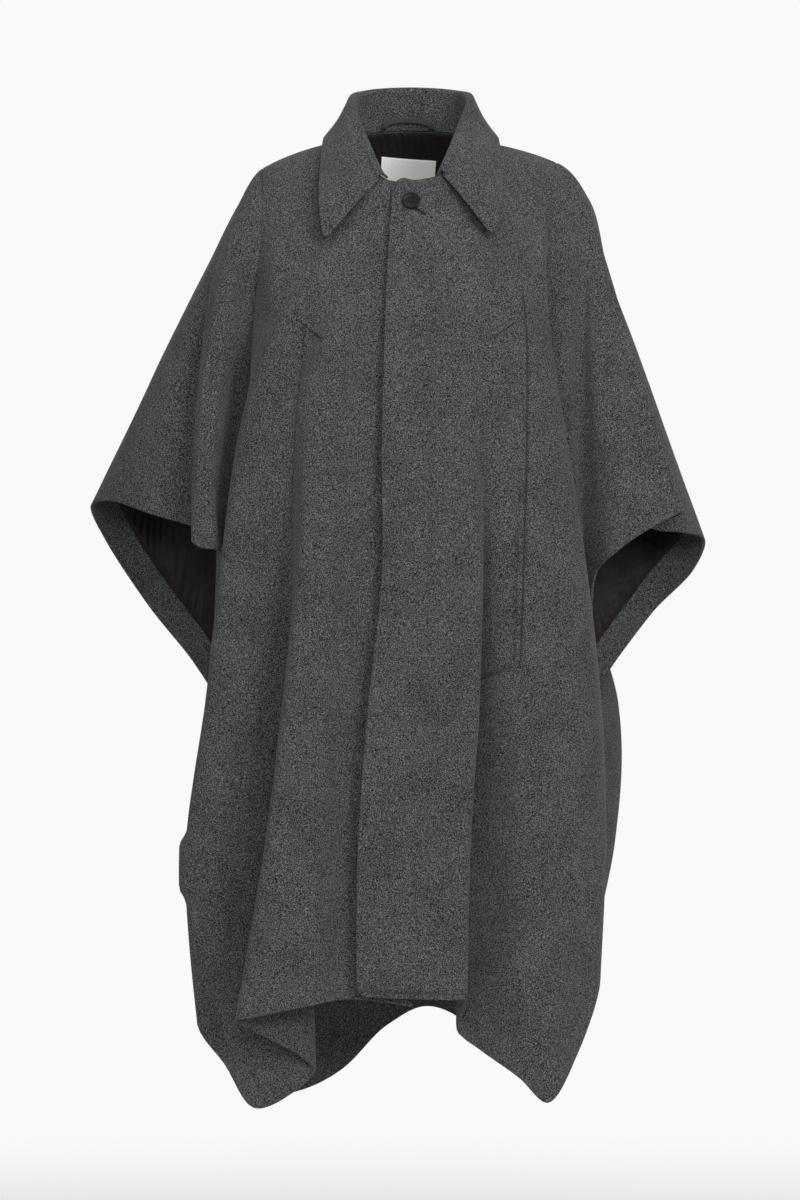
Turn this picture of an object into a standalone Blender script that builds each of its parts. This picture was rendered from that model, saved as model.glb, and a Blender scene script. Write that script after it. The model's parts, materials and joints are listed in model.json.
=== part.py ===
"""Cape coat in heavy wool, filled out and hollow, as it hangs on a wearer's shoulders.

The tables are in millimetres and the meshes in metres. +Z is up, the front faces -Y, and
+X is the wearer's left. The origin lies between the two shoulder tips, where the coat is held.

Every cloth panel is a net of fold lines. A fold line runs down the cloth from the neck or the
shoulder to the hem, and a table row gives where it passes each level. Curves join the lines
into a smooth sheet, and the sheet gets its wall along normals that neighbouring panels share,
so that the pieces meet at their seams with the same small gap all the way through.
"""

from collections import namedtuple
from math import cos, pi, sin

import bmesh
import bpy
import numpy as np
from mathutils import Vector
from mathutils.bvhtree import BVHTree

MM = 0.001

# Cloth
WOOL_WALL = 2.0
INNER_WALL = 1.2
COLLAR_WALL = 2.6
LAYER_GAP = 0.3
SEAM_GAP = 0.3
MITRE_EASE = 0.05
MITRE_LIMIT = 1.8
RIM_SIDE = (0.31, 0.53, 0.79)
SLEEVE_FACING = 48.0
HEM_FACING = 105.0

# Levels down the body, as depths below the shoulders
LEVELS = {"yoke": 80, "chest": 190, "waist": 340, "hip": 490, "underarm": 640, "knee": 810}
HEM_DEPTH = 1000
ARMHOLE_ROWS = (0, 14, 40, 80, 135, 190, 265, 340, 415, 490)
SKIRT_ROWS = (725, 810)
SHOULDER_PULL = (1.0, 1.4, 0.4)
SLEEVE_PULL = (1.35, 1.0, 0.6)

# Trims
Dart = namedtuple("Dart", "name panel centre along")
DART_LENGTH = 42.0
DART_WIDTH = 7.0
DART_HEIGHT = 1.2
DART_LIFT = 0.6
DARTS = (
    Dart("chest_dart_left", "front_left", (106.0, -199.0), (44.0, 28.0)),
    Dart("chest_dart_right", "front_right", (-118.0, -197.0), (33.0, -27.0)),
)
BUTTON_RADIUS = 10.5
BUTTON_HEIGHT = 3.6
BUTTON_HOLE_RADIUS = 1.1
BUTTON_HOLE_OFFSET = 2.2
BUTTON_PLACE = (0.0, -46.0)
BUTTON_SIDES = 24
LABEL_WIDTH = 67.0
LABEL_HEIGHT = 44.0
LABEL_WALL = 0.6
LABEL_LIFT = 0.7
LABEL_CENTRE = (-4.0, -4.0)
LABEL_ALONG = (55.0, -4.0)
LOOP_CENTRE = (-4.0, 51.0)
LOOP_SPAN = 58.0
LOOP_RISE = 12.0
LOOP_WIDTH = 6.0
LOOP_THICKNESS = 1.8
LOOP_LEAN = 3.0
LOOP_SEAT = 0.4
LOOP_STEPS = 12
LOOP_SIDES = 8
FRONT_SIDE = -400.0
SLEEVE_TIP_SHARE = 0.02
UNDERARM_CLEAR = 1.0

# Colours
WOOL = (0.052, 0.056, 0.062)
SATIN_BLACK = (0.012, 0.012, 0.013)
WOVEN_WHITE = (0.82, 0.82, 0.80)
HORN_DARK = (0.02, 0.02, 0.022)

# What is lined: the lining, the panel it lies in, and its first and last column
LINED = (
    ("lining_left", "front_left", 2, 0),
    ("lining_right", "front_right", 0, -2),
    ("lining_back", "back", 0, 0),
    ("lining_sleeve_left", "sleeve_left", 0, 0),
    ("lining_sleeve_right", "sleeve_right", 0, 0),
)

# Where the wearer's two shoulder tips are, and the seam from the neck to each
SHOULDER_LEFT = ((78, 0, 31), (107, 0, 28), (145, -1, 18), (174, -3, 7))
SHOULDER_RIGHT = ((-78, 0, 31), (-107, 0, 28), (-147, -1, 15), (-178, -3, 0))

# The neck seam, from the wearer's left front edge round the back to the right front edge
NeckPoint = namedtuple("NeckPoint", "name seam roll leaf_edge")
NECK = (
    NeckPoint("left front", (31, -75, -15), (31, -78, -10), (96, -98, -90)),
    NeckPoint("left collarbone", (62, -46, 6), (56, -36, 38), (108, -80, -44)),
    NeckPoint("left side", (78, 0, 31), (71, 8, 83), (104, -8, 32)),
    NeckPoint("left nape", (56, 47, 45), (54, 50, 95), (92, 50, 17)),
    NeckPoint("nape", (0, 68, 51), (0, 64, 100), (0, 91, 13)),
    NeckPoint("right nape", (-56, 47, 45), (-54, 50, 95), (-92, 50, 17)),
    NeckPoint("right side", (-78, 0, 31), (-71, 8, 81), (-104, -8, 32)),
    NeckPoint("right collarbone", (-60, -46, 5), (-58, -36, 36), (-109, -80, -46)),
    NeckPoint("right front", (-28, -70, -19), (-28, -74, -14), (-99, -99, -91)),
)
FRONT_NECK_COLS = 6
BACK_NECK_COLS = 8
SHOULDER_COLS = 10
ROLL_RADIUS = 2.5
LEAF_ROWS = 4

# Fold lines of the body. cols is how many columns of faces lie between a line and the next.
# top and hem are points; the levels between give sideways place and depth.
Fold = namedtuple("Fold", "name cols top yoke chest waist hip underarm knee hem")

ARMHOLE_FRONT_LEFT = {
    "yoke": (164, -60), "chest": (158, -70), "waist": (172, -66), "hip": (191, -40),
    "underarm": (214, 18), "knee": (212, 16), "hem": (203, 8, -962),
}
ARMHOLE_BACK_LEFT = {
    "yoke": (171, 42), "chest": (176, 72), "waist": (184, 76), "hip": (194, 60),
    "underarm": (214, 18), "knee": (212, 16), "hem": (203, 8, -962),
}
ARMHOLE_FRONT_RIGHT = {
    "yoke": (-178, -60), "chest": (-188, -70), "waist": (-196, -64), "hip": (-209, -38),
    "underarm": (-230, 18), "knee": (-236, 16), "hem": (-226, 18, -985),
}
ARMHOLE_BACK_RIGHT = {
    "yoke": (-177, 42), "chest": (-184, 72), "waist": (-194, 76), "hip": (-207, 60),
    "underarm": (-230, 18), "knee": (-236, 16), "hem": (-226, 18, -985),
}

FRONT_LEFT_FOLDS = (
    Fold("placket edge", 2, (-21, -76, -23), (-26, -95), (-31, -131), (-35, -146),
         (-35, -150), (-51, -155), (-63, -158), (-64, -160, -982)),
    Fold("fly stitching", 2, (31, -75, -15), (23, -98), (23, -133), (22, -148),
         (20, -153), (16, -159), (4, -166), (10, -171, -984)),
    Fold("panel fold", 1, (52, -57, -3), (52, -95), (74, -133), (75, -147),
         (80, -155), (78, -164), (68, -170), (64, -176, -985)),
    Fold("panel turn", 1, (62, -46, 6), (62, -93), (80, -131), (81, -143),
         (84, -146), (79, -153), (69, -158), (65, -164, -987)),
    Fold("deep valley", 2, (70, -26, 18), (74, -90), (86, -129), (86, -138),
         (83, -129), (76, -116), (64, -110), (58, -110, -1030)),
    Fold("inner front", 2, (78, 0, 31), (90, -85), (98, -125), (95, -139),
         (96, -136), (95, -131), (97, -127), (80, -121, -1047)),
    Fold("pocket seam", 1, (98, 0, 29), (118, -78), (134, -113), (136, -133),
         (131, -141), (127, -142), (127, -143), (126, -145, -1078)),
    Fold("front ridge", 2, (108, 0, 28), (134, -73), (147, -103), (157, -125),
         (157, -137), (156, -141), (156, -143), (160, -148, -1107)),
    Fold("side slope", 2, (127, -1, 23), (146, -68), (157, -97), (174, -116),
         (190, -123), (199, -124), (203, -122), (197, -120, -1050)),
    Fold("side ridge", 3, (146, -1, 18), (156, -65), (163, -90), (186, -100),
         (208, -103), (222, -99), (229, -94), (224, -88, -970)),
    Fold("side seam", 0, (174, -3, 7), **ARMHOLE_FRONT_LEFT),
)

FRONT_RIGHT_FOLDS = (
    Fold("underlap edge", 2, (14, -70, -21), (17, -90), (17, -126), (16, -141),
         (15, -145), (10, -151), (2, -154), (1, -156, -994)),
    Fold("placket shadow", 2, (-28, -70, -19), (-33, -89), (-43, -121), (-47, -134),
         (-51, -137), (-61, -139), (-74, -139), (-75, -145, -986)),
    Fold("front swell", 2, (-50, -57, -4), (-64, -92), (-76, -129), (-80, -147),
         (-89, -155), (-97, -159), (-109, -163), (-118, -167, -992)),
    Fold("layer flat", 1, (-68, -32, 14), (-84, -88), (-96, -128), (-108, -151),
         (-114, -159), (-128, -164), (-150, -167), (-182, -167, -1005)),
    Fold("layer edge", 1, (-74, -16, 24), (-94, -86), (-106, -126), (-122, -149),
         (-131, -157), (-147, -162), (-170, -163), (-204, -162, -1009)),
    Fold("layer turn", 2, (-78, 0, 31), (-102, -83), (-114, -123), (-129, -142),
         (-137, -147), (-151, -151), (-172, -151), (-205, -151, -1012)),
    Fold("layer valley", 2, (-98, 0, 29), (-114, -79), (-126, -116), (-138, -133),
         (-141, -121), (-137, -108), (-124, -96), (-116, -85, -1075)),
    Fold("side layer", 1, (-118, 0, 24), (-132, -75), (-143, -112), (-160, -125),
         (-170, -118), (-175, -105), (-174, -93), (-142, -80, -1103)),
    Fold("corner", 1, (-128, 0, 21), (-144, -72), (-153, -111), (-182, -119),
         (-198, -113), (-207, -106), (-214, -96), (-187, -68, -1121)),
    Fold("side slope", 1, (-138, -1, 18), (-154, -70), (-161, -108), (-196, -114),
         (-214, -112), (-229, -106), (-248, -95), (-222, -60, -1070)),
    Fold("side ridge", 3, (-148, -1, 15), (-161, -68), (-170, -102), (-207, -103),
         (-226, -103), (-242, -98), (-266, -84), (-254, -60, -1024)),
    Fold("side seam", 0, (-178, -3, 0), **ARMHOLE_FRONT_RIGHT),
)

BACK_FOLDS = (
    Fold("left seam", 3, (174, -3, 7), **ARMHOLE_BACK_LEFT),
    Fold("left side ridge", 3, (146, -1, 18), (150, 66), (163, 96), (186, 104),
         (204, 100), (252, 92), (248, 88), (206, 78, -984)),
    Fold("left corner", 2, (118, -1, 25), (122, 84), (143, 109), (162, 121),
         (172, 130), (186, 138), (186, 145), (166, 150, -1118)),
    Fold("left valley", 2, (98, 0, 29), (100, 92), (116, 108), (126, 115),
         (130, 118), (134, 121), (132, 126), (118, 144, -1090)),
    Fold("left blade", 2, (78, 0, 31), (78, 98), (84, 113), (88, 125),
         (92, 139), (96, 151), (98, 163), (88, 178, -1064)),
    Fold("left inner valley", 2, (56, 47, 45), (40, 99), (46, 109), (50, 118),
         (53, 126), (57, 136), (60, 147), (50, 166, -1027)),
    Fold("centre", 2, (0, 68, 51), (2, 99), (5, 112), (8, 125),
         (10, 141), (13, 155), (16, 169), (14, 186, -1021)),
    Fold("right inner valley", 2, (-56, 47, 45), (-38, 99), (-38, 110), (-38, 120),
         (-37, 129), (-36, 139), (-36, 151), (-30, 172, -1043)),
    Fold("right blade", 2, (-78, 0, 31), (-80, 98), (-84, 113), (-86, 126),
         (-88, 142), (-90, 156), (-92, 168), (-84, 180, -1097)),
    Fold("right valley", 2, (-98, 0, 29), (-102, 91), (-118, 107), (-128, 113),
         (-135, 115), (-141, 117), (-146, 122), (-138, 156, -1122)),
    Fold("right corner", 3, (-118, 0, 24), (-124, 84), (-147, 109), (-166, 120),
         (-180, 128), (-193, 135), (-198, 142), (-176, 148, -1125)),
    Fold("right side ridge", 3, (-148, -1, 15), (-155, 66), (-168, 96), (-193, 103),
         (-214, 100), (-236, 93), (-248, 86), (-232, 80, -1000)),
    Fold("right seam", 0, (-178, -3, 0), **ARMHOLE_BACK_RIGHT),
)

# Fold lines of a sleeve fan out from the shoulder tip, from the front armhole seam round the
# outer fold to the back armhole seam. The levels are shares of the way to the sleeve's hem.
SleeveFold = namedtuple("SleeveFold", "name cols yoke chest waist hip hem")

LEFT_SLEEVE_FOLDS = (
    SleeveFold("under front", 1, (186, -42, -62), (186, -62, -165), (187, -66, -285),
               (200, -54, -440), (215, -14, -592)),
    SleeveFold("front valley", 1, (202, -28, -50), (207, -44, -142), (201, -53, -252),
               (206, -56, -378), (219, -60, -486)),
    SleeveFold("front swell", 1, (207, -23, -44), (221, -48, -134), (225, -66, -244),
               (234, -78, -360), (243, -83, -461)),
    SleeveFold("front layer", 2, (208, -18, -38), (227, -45, -122), (244, -66, -227),
               (262, -81, -338), (277, -87, -437)),
    SleeveFold("front edge", 1, (208, -13, -33), (231, -38, -109), (260, -58, -209),
               (292, -73, -312), (321, -82, -414)),
    SleeveFold("edge turn", 1, (209, -10, -33), (232, -31, -109), (261, -48, -209),
               (293, -62, -314), (322, -70, -416)),
    SleeveFold("edge valley", 2, (210, -8, -34), (232, -23, -112), (256, -34, -211),
               (280, -45, -320), (290, -50, -433)),
    SleeveFold("second layer", 1, (212, -5, -36), (235, -10, -118), (268, -18, -221),
               (304, -23, -331), (329, -32, -438)),
    SleeveFold("outer fold", 2, (214, -1, -38), (236, 3, -122), (275, 7, -228),
               (315, 14, -337), (355, 24, -447)),
    SleeveFold("back outer", 2, (210, 9, -40), (231, 23, -124), (266, 40, -235),
               (305, 54, -347), (341, 62, -484)),
    SleeveFold("back middle", 2, (202, 21, -46), (219, 46, -136), (247, 70, -255),
               (277, 82, -379), (296, 84, -531)),
    SleeveFold("back inner", 2, (188, 33, -56), (201, 62, -156), (220, 78, -295),
               (238, 70, -444), (250, 56, -588)),
)

RIGHT_SLEEVE_FOLDS = (
    SleeveFold("under front", 1, (-187, -48, -64), (-201, -72, -172), (-213, -68, -300),
               (-223, -56, -445), (-235, -14, -594)),
    SleeveFold("front swell", 1, (-195, -46, -57), (-214, -82, -158), (-227, -93, -272),
               (-237, -95, -378), (-240, -84, -462)),
    SleeveFold("front layer", 1, (-199, -39, -50), (-223, -76, -140), (-238, -90, -248),
               (-248, -97, -355), (-250, -95, -456)),
    SleeveFold("front edge", 1, (-201, -32, -45), (-230, -66, -122), (-247, -83, -225),
               (-257, -92, -335), (-260, -93, -449)),
    SleeveFold("edge turn", 1, (-203, -27, -44), (-232, -56, -121), (-249, -72, -223),
               (-258, -81, -333), (-258, -82, -445)),
    SleeveFold("edge valley", 2, (-204, -21, -44), (-235, -43, -120), (-249, -58, -217),
               (-249, -65, -328), (-242, -64, -438)),
    SleeveFold("second layer", 1, (-206, -13, -46), (-241, -28, -120), (-275, -43, -210),
               (-300, -48, -316), (-310, -46, -416)),
    SleeveFold("outer slope", 1, (-207, -7, -47), (-244, -11, -120), (-287, -20, -209),
               (-327, -22, -308), (-358, -16, -400)),
    SleeveFold("outer fold", 2, (-209, -1, -48), (-246, 4, -121), (-291, 10, -211),
               (-339, 16, -311), (-386, 25, -404)),
    SleeveFold("back outer", 2, (-203, 9, -48), (-238, 24, -125), (-283, 42, -220),
               (-326, 56, -325), (-370, 70, -447)),
    SleeveFold("back middle", 2, (-196, 21, -50), (-222, 48, -139), (-256, 72, -253),
               (-290, 84, -376), (-320, 86, -524)),
    SleeveFold("back inner", 2, (-187, 33, -58), (-208, 64, -162), (-230, 80, -298),
               (-249, 72, -440), (-265, 56, -590)),
)

# ---------------------------------------------------------------------------------------------
# Curves and nets
# ---------------------------------------------------------------------------------------------


def curve_at(points, knots, places, start_pull=(1.0, 1.0, 1.0)):
    """Points of a smooth curve that passes points at knots, read at places."""
    points = np.asarray(points, float)
    knots = np.asarray(knots, float)
    places = np.asarray(places, float)
    steps = np.diff(knots)[:, None]
    slopes = np.diff(points, axis=0) / steps
    inner = (slopes[:-1] * steps[1:] + slopes[1:] * steps[:-1]) / (steps[1:] + steps[:-1])
    tangents = np.vstack((1.5 * slopes[:1] - 0.5 * inner[:1], inner,
                          1.5 * slopes[-1:] - 0.5 * inner[-1:]))
    tangents[0] *= start_pull
    span = np.clip(np.searchsorted(knots, places, side="right") - 1, 0, len(knots) - 2)
    width = steps[span]
    t = ((places - knots[span])[:, None]) / width
    start = (2 * t ** 3 - 3 * t ** 2 + 1) * points[span] + (t ** 3 - 2 * t ** 2 + t) * width * tangents[span]
    end = (3 * t ** 2 - 2 * t ** 3) * points[span + 1] + (t ** 3 - t ** 2) * width * tangents[span + 1]
    return start + end


def curve_knots(points):
    """Knots that keep a curve through unevenly spaced points free of loops."""
    gaps = np.linalg.norm(np.diff(np.asarray(points, float), axis=0), axis=1)
    return np.concatenate(((0.0,), np.cumsum(np.sqrt(np.maximum(gaps, 0.5)))))


def shared_out(knots, cols):
    """Places between knots, with cols equal steps from each knot to the next."""
    places = [knots[i] + (knots[i + 1] - knots[i]) * k / cols[i]
              for i in range(len(knots) - 1) for k in range(cols[i])]
    return np.array(places + [knots[-1]])


def depth_before_end(points, knots, distance):
    """The depth at which a fold line still has distance to go to its end."""
    fine = np.linspace(knots[-2], knots[-1], 81)
    path = curve_at(points, knots, fine)
    left = np.concatenate((np.cumsum(np.linalg.norm(np.diff(path, axis=0), axis=1)[::-1])[::-1], (0.0,)))
    return float(np.interp(distance, left[::-1], fine[::-1]))


def across(lines, cols):
    """A net of points: rows down the cloth, columns across it."""
    rows = []
    for row in np.swapaxes(lines, 0, 1):
        knots = curve_knots(row)
        rows.append(curve_at(row, knots, shared_out(knots, cols)))
    return np.array(rows)


# ---------------------------------------------------------------------------------------------
# Edges that panels share
# ---------------------------------------------------------------------------------------------


def shoulder_edge(points):
    """The shoulder seam from the neck out, one point for each column."""
    return curve_at(points, range(len(points)), np.linspace(0, len(points) - 1, SHOULDER_COLS + 1))


def neck_places():
    """Places round the neck, counted in NECK rows, one for each column of the collar."""
    side = (len(NECK) - 1) / 4
    left = np.linspace(0, side, FRONT_NECK_COLS + 1)
    back = np.linspace(side, 3 * side, BACK_NECK_COLS + 1)
    right = np.linspace(3 * side, 4 * side, FRONT_NECK_COLS + 1)
    return np.concatenate((left, back[1:], right[1:]))


def round_neck(column):
    """One column of the NECK table as a smooth line, a point for each collar column."""
    points = [getattr(row, column) for row in NECK]
    return curve_at(points, range(len(NECK)), neck_places())


# ---------------------------------------------------------------------------------------------
# Panels
# ---------------------------------------------------------------------------------------------


def body_line(fold):
    """One fold line of the body, a point for each row of faces."""
    levels = [(*getattr(fold, name), -depth) for name, depth in LEVELS.items()]
    points = [fold.top, *levels, fold.hem]
    knots = [0, *LEVELS.values(), HEM_DEPTH]
    cuff = LEVELS["underarm"] - SLEEVE_FACING
    facing = depth_before_end(points, knots, HEM_FACING)
    between = 0.5 * (SKIRT_ROWS[-1] + facing)
    depths = (*ARMHOLE_ROWS, cuff, LEVELS["underarm"], *SKIRT_ROWS, between, facing, HEM_DEPTH)
    return curve_at(points, knots, depths, SHOULDER_PULL)


def body_net(folds, first_seam=None, last_seam=None):
    """A body panel. Below the underarm its sides take the seams of the panels beside it."""
    lines = [body_line(fold) for fold in folds]
    underarm = len(ARMHOLE_ROWS) + 1
    for line, seam in ((lines[0], first_seam), (lines[-1], last_seam)):
        if seam is not None:
            line[underarm:] = seam[underarm:]
    return across(lines, [fold.cols for fold in folds])


def sleeve_line(fold, tip):
    """One fold line of a sleeve, from the shoulder tip to the sleeve's hem."""
    points = [tip, fold.yoke, fold.chest, fold.waist, fold.hip, fold.hem]
    knots = [0, *list(LEVELS.values())[:5]]
    cuff = depth_before_end(points, knots, SLEEVE_FACING)
    return curve_at(points, knots, (*ARMHOLE_ROWS, cuff, LEVELS["underarm"]), SLEEVE_PULL)


def sleeve_net(folds, tip, front_seam, back_seam):
    """A sleeve between the body's two armhole seams. Its hem closes just outside the underarm."""
    rows = len(ARMHOLE_ROWS) + 2
    lines = [front_seam[:rows], *(sleeve_line(fold, tip) for fold in folds), back_seam[:rows]]
    cols = [1, *(fold.cols for fold in folds)]
    net = across(lines, cols)
    net[0] = tip
    out = 0.5 * (net[-1, 1] + net[-1, -2]) - net[-1, 0]
    net[-1, (0, -1)] += out / np.linalg.norm(out) * UNDERARM_CLEAR
    return net


def collar_net():
    """Stand, roll and leaf in one folded sheet. Its face is the one that the fold hides."""
    seam = round_neck("seam")
    roll = round_neck("roll")
    edge = round_neck("leaf_edge")
    up = roll - seam
    up /= np.linalg.norm(up, axis=1)[:, None]
    out = edge - roll
    out -= (out * up).sum(axis=1)[:, None] * up
    out /= np.linalg.norm(out, axis=1)[:, None]
    centre = roll - ROLL_RADIUS * up
    rows = [seam, 0.5 * (seam + centre - ROLL_RADIUS * out)]
    for quarter in range(5):
        turn = pi * quarter / 4
        rows.append(centre + ROLL_RADIUS * (sin(turn) * up - cos(turn) * out))
    leaf = rows[-1]
    for step in range(1, LEAF_ROWS + 1):
        rows.append(leaf + (edge - leaf) * step / LEAF_ROWS)
    return np.array(rows)


# ---------------------------------------------------------------------------------------------
# Walls
# ---------------------------------------------------------------------------------------------


def face_normals(net):
    """Unit normals of the faces."""
    normals = np.cross(net[1:, 1:] - net[:-1, :-1], net[:-1, 1:] - net[1:, :-1])
    lengths = np.linalg.norm(normals, axis=2)
    return normals / np.maximum(lengths, 1e-6)[:, :, None]


def mitre(faces):
    """The step from a point that takes every face round it outwards by one, as far as it can."""
    lean = faces.T @ faces + MITRE_EASE * np.eye(3)
    step = np.linalg.solve(lean, faces.sum(axis=0))
    return step * min(1.0, MITRE_LIMIT / max(float(np.linalg.norm(step)), 1e-6))


def shared_normals(nets):
    """A step outwards for each point of each net, shared by all points in one place."""
    around = {}
    for net in nets.values():
        faces = face_normals(net)
        for r in range(net.shape[0]):
            for c in range(net.shape[1]):
                near = faces[max(r - 1, 0):r + 1, max(c - 1, 0):c + 1].reshape(-1, 3)
                around.setdefault(tuple(np.round(net[r, c], 2)), []).append(near)
    steps = {place: mitre(np.vstack(faces)) for place, faces in around.items()}
    return {name: np.array([[steps[tuple(np.round(point, 2))] for point in row] for row in net])
            for name, net in nets.items()}


def drawn_in(net, gap):
    """The net with its outer points moved inwards by half a seam gap."""
    moved = net.copy()
    for edge, inner in ((0, 1), (-1, -2)):
        along = net[inner] - net[edge]
        length = np.linalg.norm(along, axis=1)[:, None]
        moved[edge] += along / np.maximum(length, 0.1) * gap / 2
        along = net[:, inner] - net[:, edge]
        length = np.linalg.norm(along, axis=1)[:, None]
        moved[:, edge] += along / np.maximum(length, 0.1) * gap / 2
    return moved


def new_object(name, mesh, colour, roughness):
    """Puts a mesh in the scene as a named piece with its own material."""
    material = bpy.data.materials.new(name + "_finish")
    material.use_nodes = True
    shader = material.node_tree.nodes["Principled BSDF"]
    shader.inputs["Base Color"].default_value = (*colour, 1.0)
    shader.inputs["Roughness"].default_value = roughness
    shader.inputs["Metallic"].default_value = 0.0
    mesh.materials.append(material)
    piece = bpy.data.objects.new(name, mesh)
    bpy.context.scene.collection.objects.link(piece)
    return piece


def finished_mesh(name, work):
    """Turns bmesh work in millimetres into a mesh in metres."""
    bmesh.ops.scale(work, vec=(MM, MM, MM), verts=work.verts)
    mesh = bpy.data.meshes.new(name)
    work.to_mesh(mesh)
    work.free()
    return mesh


def wall_mesh(name, net, normals, nearest, furthest):
    """A closed wall between two depths under the face of a net."""
    rows, cols = net.shape[:2]
    work = bmesh.new()
    layers = []
    for depth in (nearest, furthest):
        points = net - normals * depth
        layer = [[work.verts.new(points[r, c]) for c in range(cols)] for r in range(rows)]
        layers.append(layer)
    face, back = layers
    for r in range(rows - 1):
        for c in range(cols - 1):
            work.faces.new((face[r][c], face[r + 1][c], face[r + 1][c + 1]))
            work.faces.new((face[r][c], face[r + 1][c + 1], face[r][c + 1]))
            work.faces.new((back[r][c], back[r + 1][c + 1], back[r + 1][c]))
            work.faces.new((back[r][c], back[r][c + 1], back[r + 1][c + 1]))
    border = [(0, c) for c in range(cols)] + [(r, cols - 1) for r in range(1, rows)]
    border += [(rows - 1, c) for c in range(cols - 2, -1, -1)]
    border += [(r, 0) for r in range(rows - 2, 0, -1)]
    for (r0, c0), (r1, c1) in zip(border, border[1:] + border[:1]):
        corners = (face[r0][c0], face[r1][c1], back[r1][c1], back[r0][c0])
        first = int(net[r0, c0] @ RIM_SIDE > net[r1, c1] @ RIM_SIDE)
        corners = corners[first:] + corners[:first]
        work.faces.new(corners[:3])
        work.faces.new((corners[2], corners[3], corners[0]))
    bmesh.ops.remove_doubles(work, verts=work.verts, dist=0.01)
    bmesh.ops.dissolve_degenerate(work, edges=work.edges, dist=0.001)
    return finished_mesh(name, work)


def cloth(name, net, normals, nearest, wall, colour, roughness):
    mesh = wall_mesh(name, net, normals, nearest, nearest + wall)
    return new_object(name, mesh, colour, roughness)


# ---------------------------------------------------------------------------------------------
# Trims
# ---------------------------------------------------------------------------------------------


def surface_of(piece):
    """A piece's faces in millimetres, for finding where a trim lies on it."""
    mesh = piece.data
    points = [vertex.co / MM for vertex in mesh.vertices]
    return BVHTree.FromPolygons(points, [polygon.vertices[:] for polygon in mesh.polygons])


def struck(surface, x, z, start_y):
    """Where a line that runs backwards from start_y at x and z first meets a surface."""
    place, normal, _, _ = surface.ray_cast(Vector((x, start_y, z)), Vector((0.0, 1.0, 0.0)))
    return np.array(place), np.array(normal)


def patch_on(surface, centre, along, width, height, rows, cols, start_y, lift):
    """A rectangle of points laid on a surface and lifted off it, towards the front."""
    along = np.array(along) / np.linalg.norm(along)
    down = np.array((along[1], -along[0]))
    net = np.zeros((rows, cols, 3))
    for r in range(rows):
        for c in range(cols):
            x, z = (np.array(centre) + along * width * (c / (cols - 1) - 0.5)
                    + down * height * (r / (rows - 1) - 0.5))
            place, normal = struck(surface, x, z, start_y)
            facing = normal if normal[1] < 0 else -normal
            net[r, c] = place + facing * lift
    return net


def chest_dart(name, surface, dart):
    """A narrow ridge of doubled wool, sewn down on the chest."""
    lift = DART_LIFT + DART_HEIGHT
    net = patch_on(surface, dart.centre, dart.along, DART_LENGTH, DART_WIDTH, 3, 7, FRONT_SIDE, lift)
    return cloth(name, net, shared_normals({name: net})[name], 0.0, DART_HEIGHT, WOOL, 0.9)


def neck_label(surface):
    """A bare woven label that follows the lining just under the nape."""
    lift = LABEL_LIFT + LABEL_WALL
    net = patch_on(surface, LABEL_CENTRE, LABEL_ALONG, LABEL_WIDTH, LABEL_HEIGHT, 5, 8, 0.0, lift)
    return cloth("label", net, shared_normals({"label": net})["label"], 0.0, LABEL_WALL, WOVEN_WHITE, 0.7)


def hanger_loop(surface):
    """A flat tape that arches over the nape, with both ends on the collar stand's foot."""
    rings = []
    for step in range(LOOP_STEPS + 1):
        turn = pi * step / LOOP_STEPS
        x = LOOP_CENTRE[0] - LOOP_SPAN / 2 * cos(turn)
        z = LOOP_CENTRE[1] + LOOP_RISE * sin(turn) ** 0.7
        stand = min(struck(surface, x + reach, z, 0.0)[0][1] for reach in (-LOOP_WIDTH / 2, 0, LOOP_WIDTH / 2))
        y = stand - LOOP_SEAT - LOOP_THICKNESS / 2 - LOOP_LEAN * sin(turn)
        rings.append((x, y, z))
    path = np.array(rings)
    heading = np.gradient(path, axis=0)
    heading /= np.linalg.norm(heading, axis=1)[:, None]
    broad = np.cross(heading, (0.0, 1.0, 0.0))
    broad /= np.linalg.norm(broad, axis=1)[:, None]
    flat = np.cross(broad, heading)
    work = bmesh.new()
    loops = []
    for centre, wide, thin in zip(path, broad, flat):
        corners = [centre + wide * LOOP_WIDTH / 2 * cos(2 * pi * k / LOOP_SIDES)
                   + thin * LOOP_THICKNESS / 2 * sin(2 * pi * k / LOOP_SIDES) for k in range(LOOP_SIDES)]
        loops.append([work.verts.new(corner) for corner in corners])
    for ring, following in zip(loops, loops[1:]):
        for k in range(LOOP_SIDES):
            after = (k + 1) % LOOP_SIDES
            work.faces.new((ring[k], ring[after], following[after], following[k]))
    work.faces.new(loops[0][::-1])
    work.faces.new(loops[-1])
    bmesh.ops.recalc_face_normals(work, faces=work.faces)
    bmesh.ops.triangulate(work, faces=work.faces)
    return new_object("hanger_loop", finished_mesh("hanger_loop", work), SATIN_BLACK, 0.6)


def turned(profile, sides):
    """bmesh work that turns a profile of (radius, height) points round its own axis."""
    work = bmesh.new()
    verts = [work.verts.new((radius, 0.0, height)) for radius, height in profile]
    edges = [work.edges.new(pair) for pair in zip(verts, verts[1:])]
    bmesh.ops.spin(work, geom=verts + edges, cent=(0, 0, 0), axis=(0, 0, 1), angle=2 * pi,
                   steps=sides, use_duplicate=False)
    bmesh.ops.remove_doubles(work, verts=work.verts, dist=0.001)
    bmesh.ops.recalc_face_normals(work, faces=work.faces)
    return work


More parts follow.
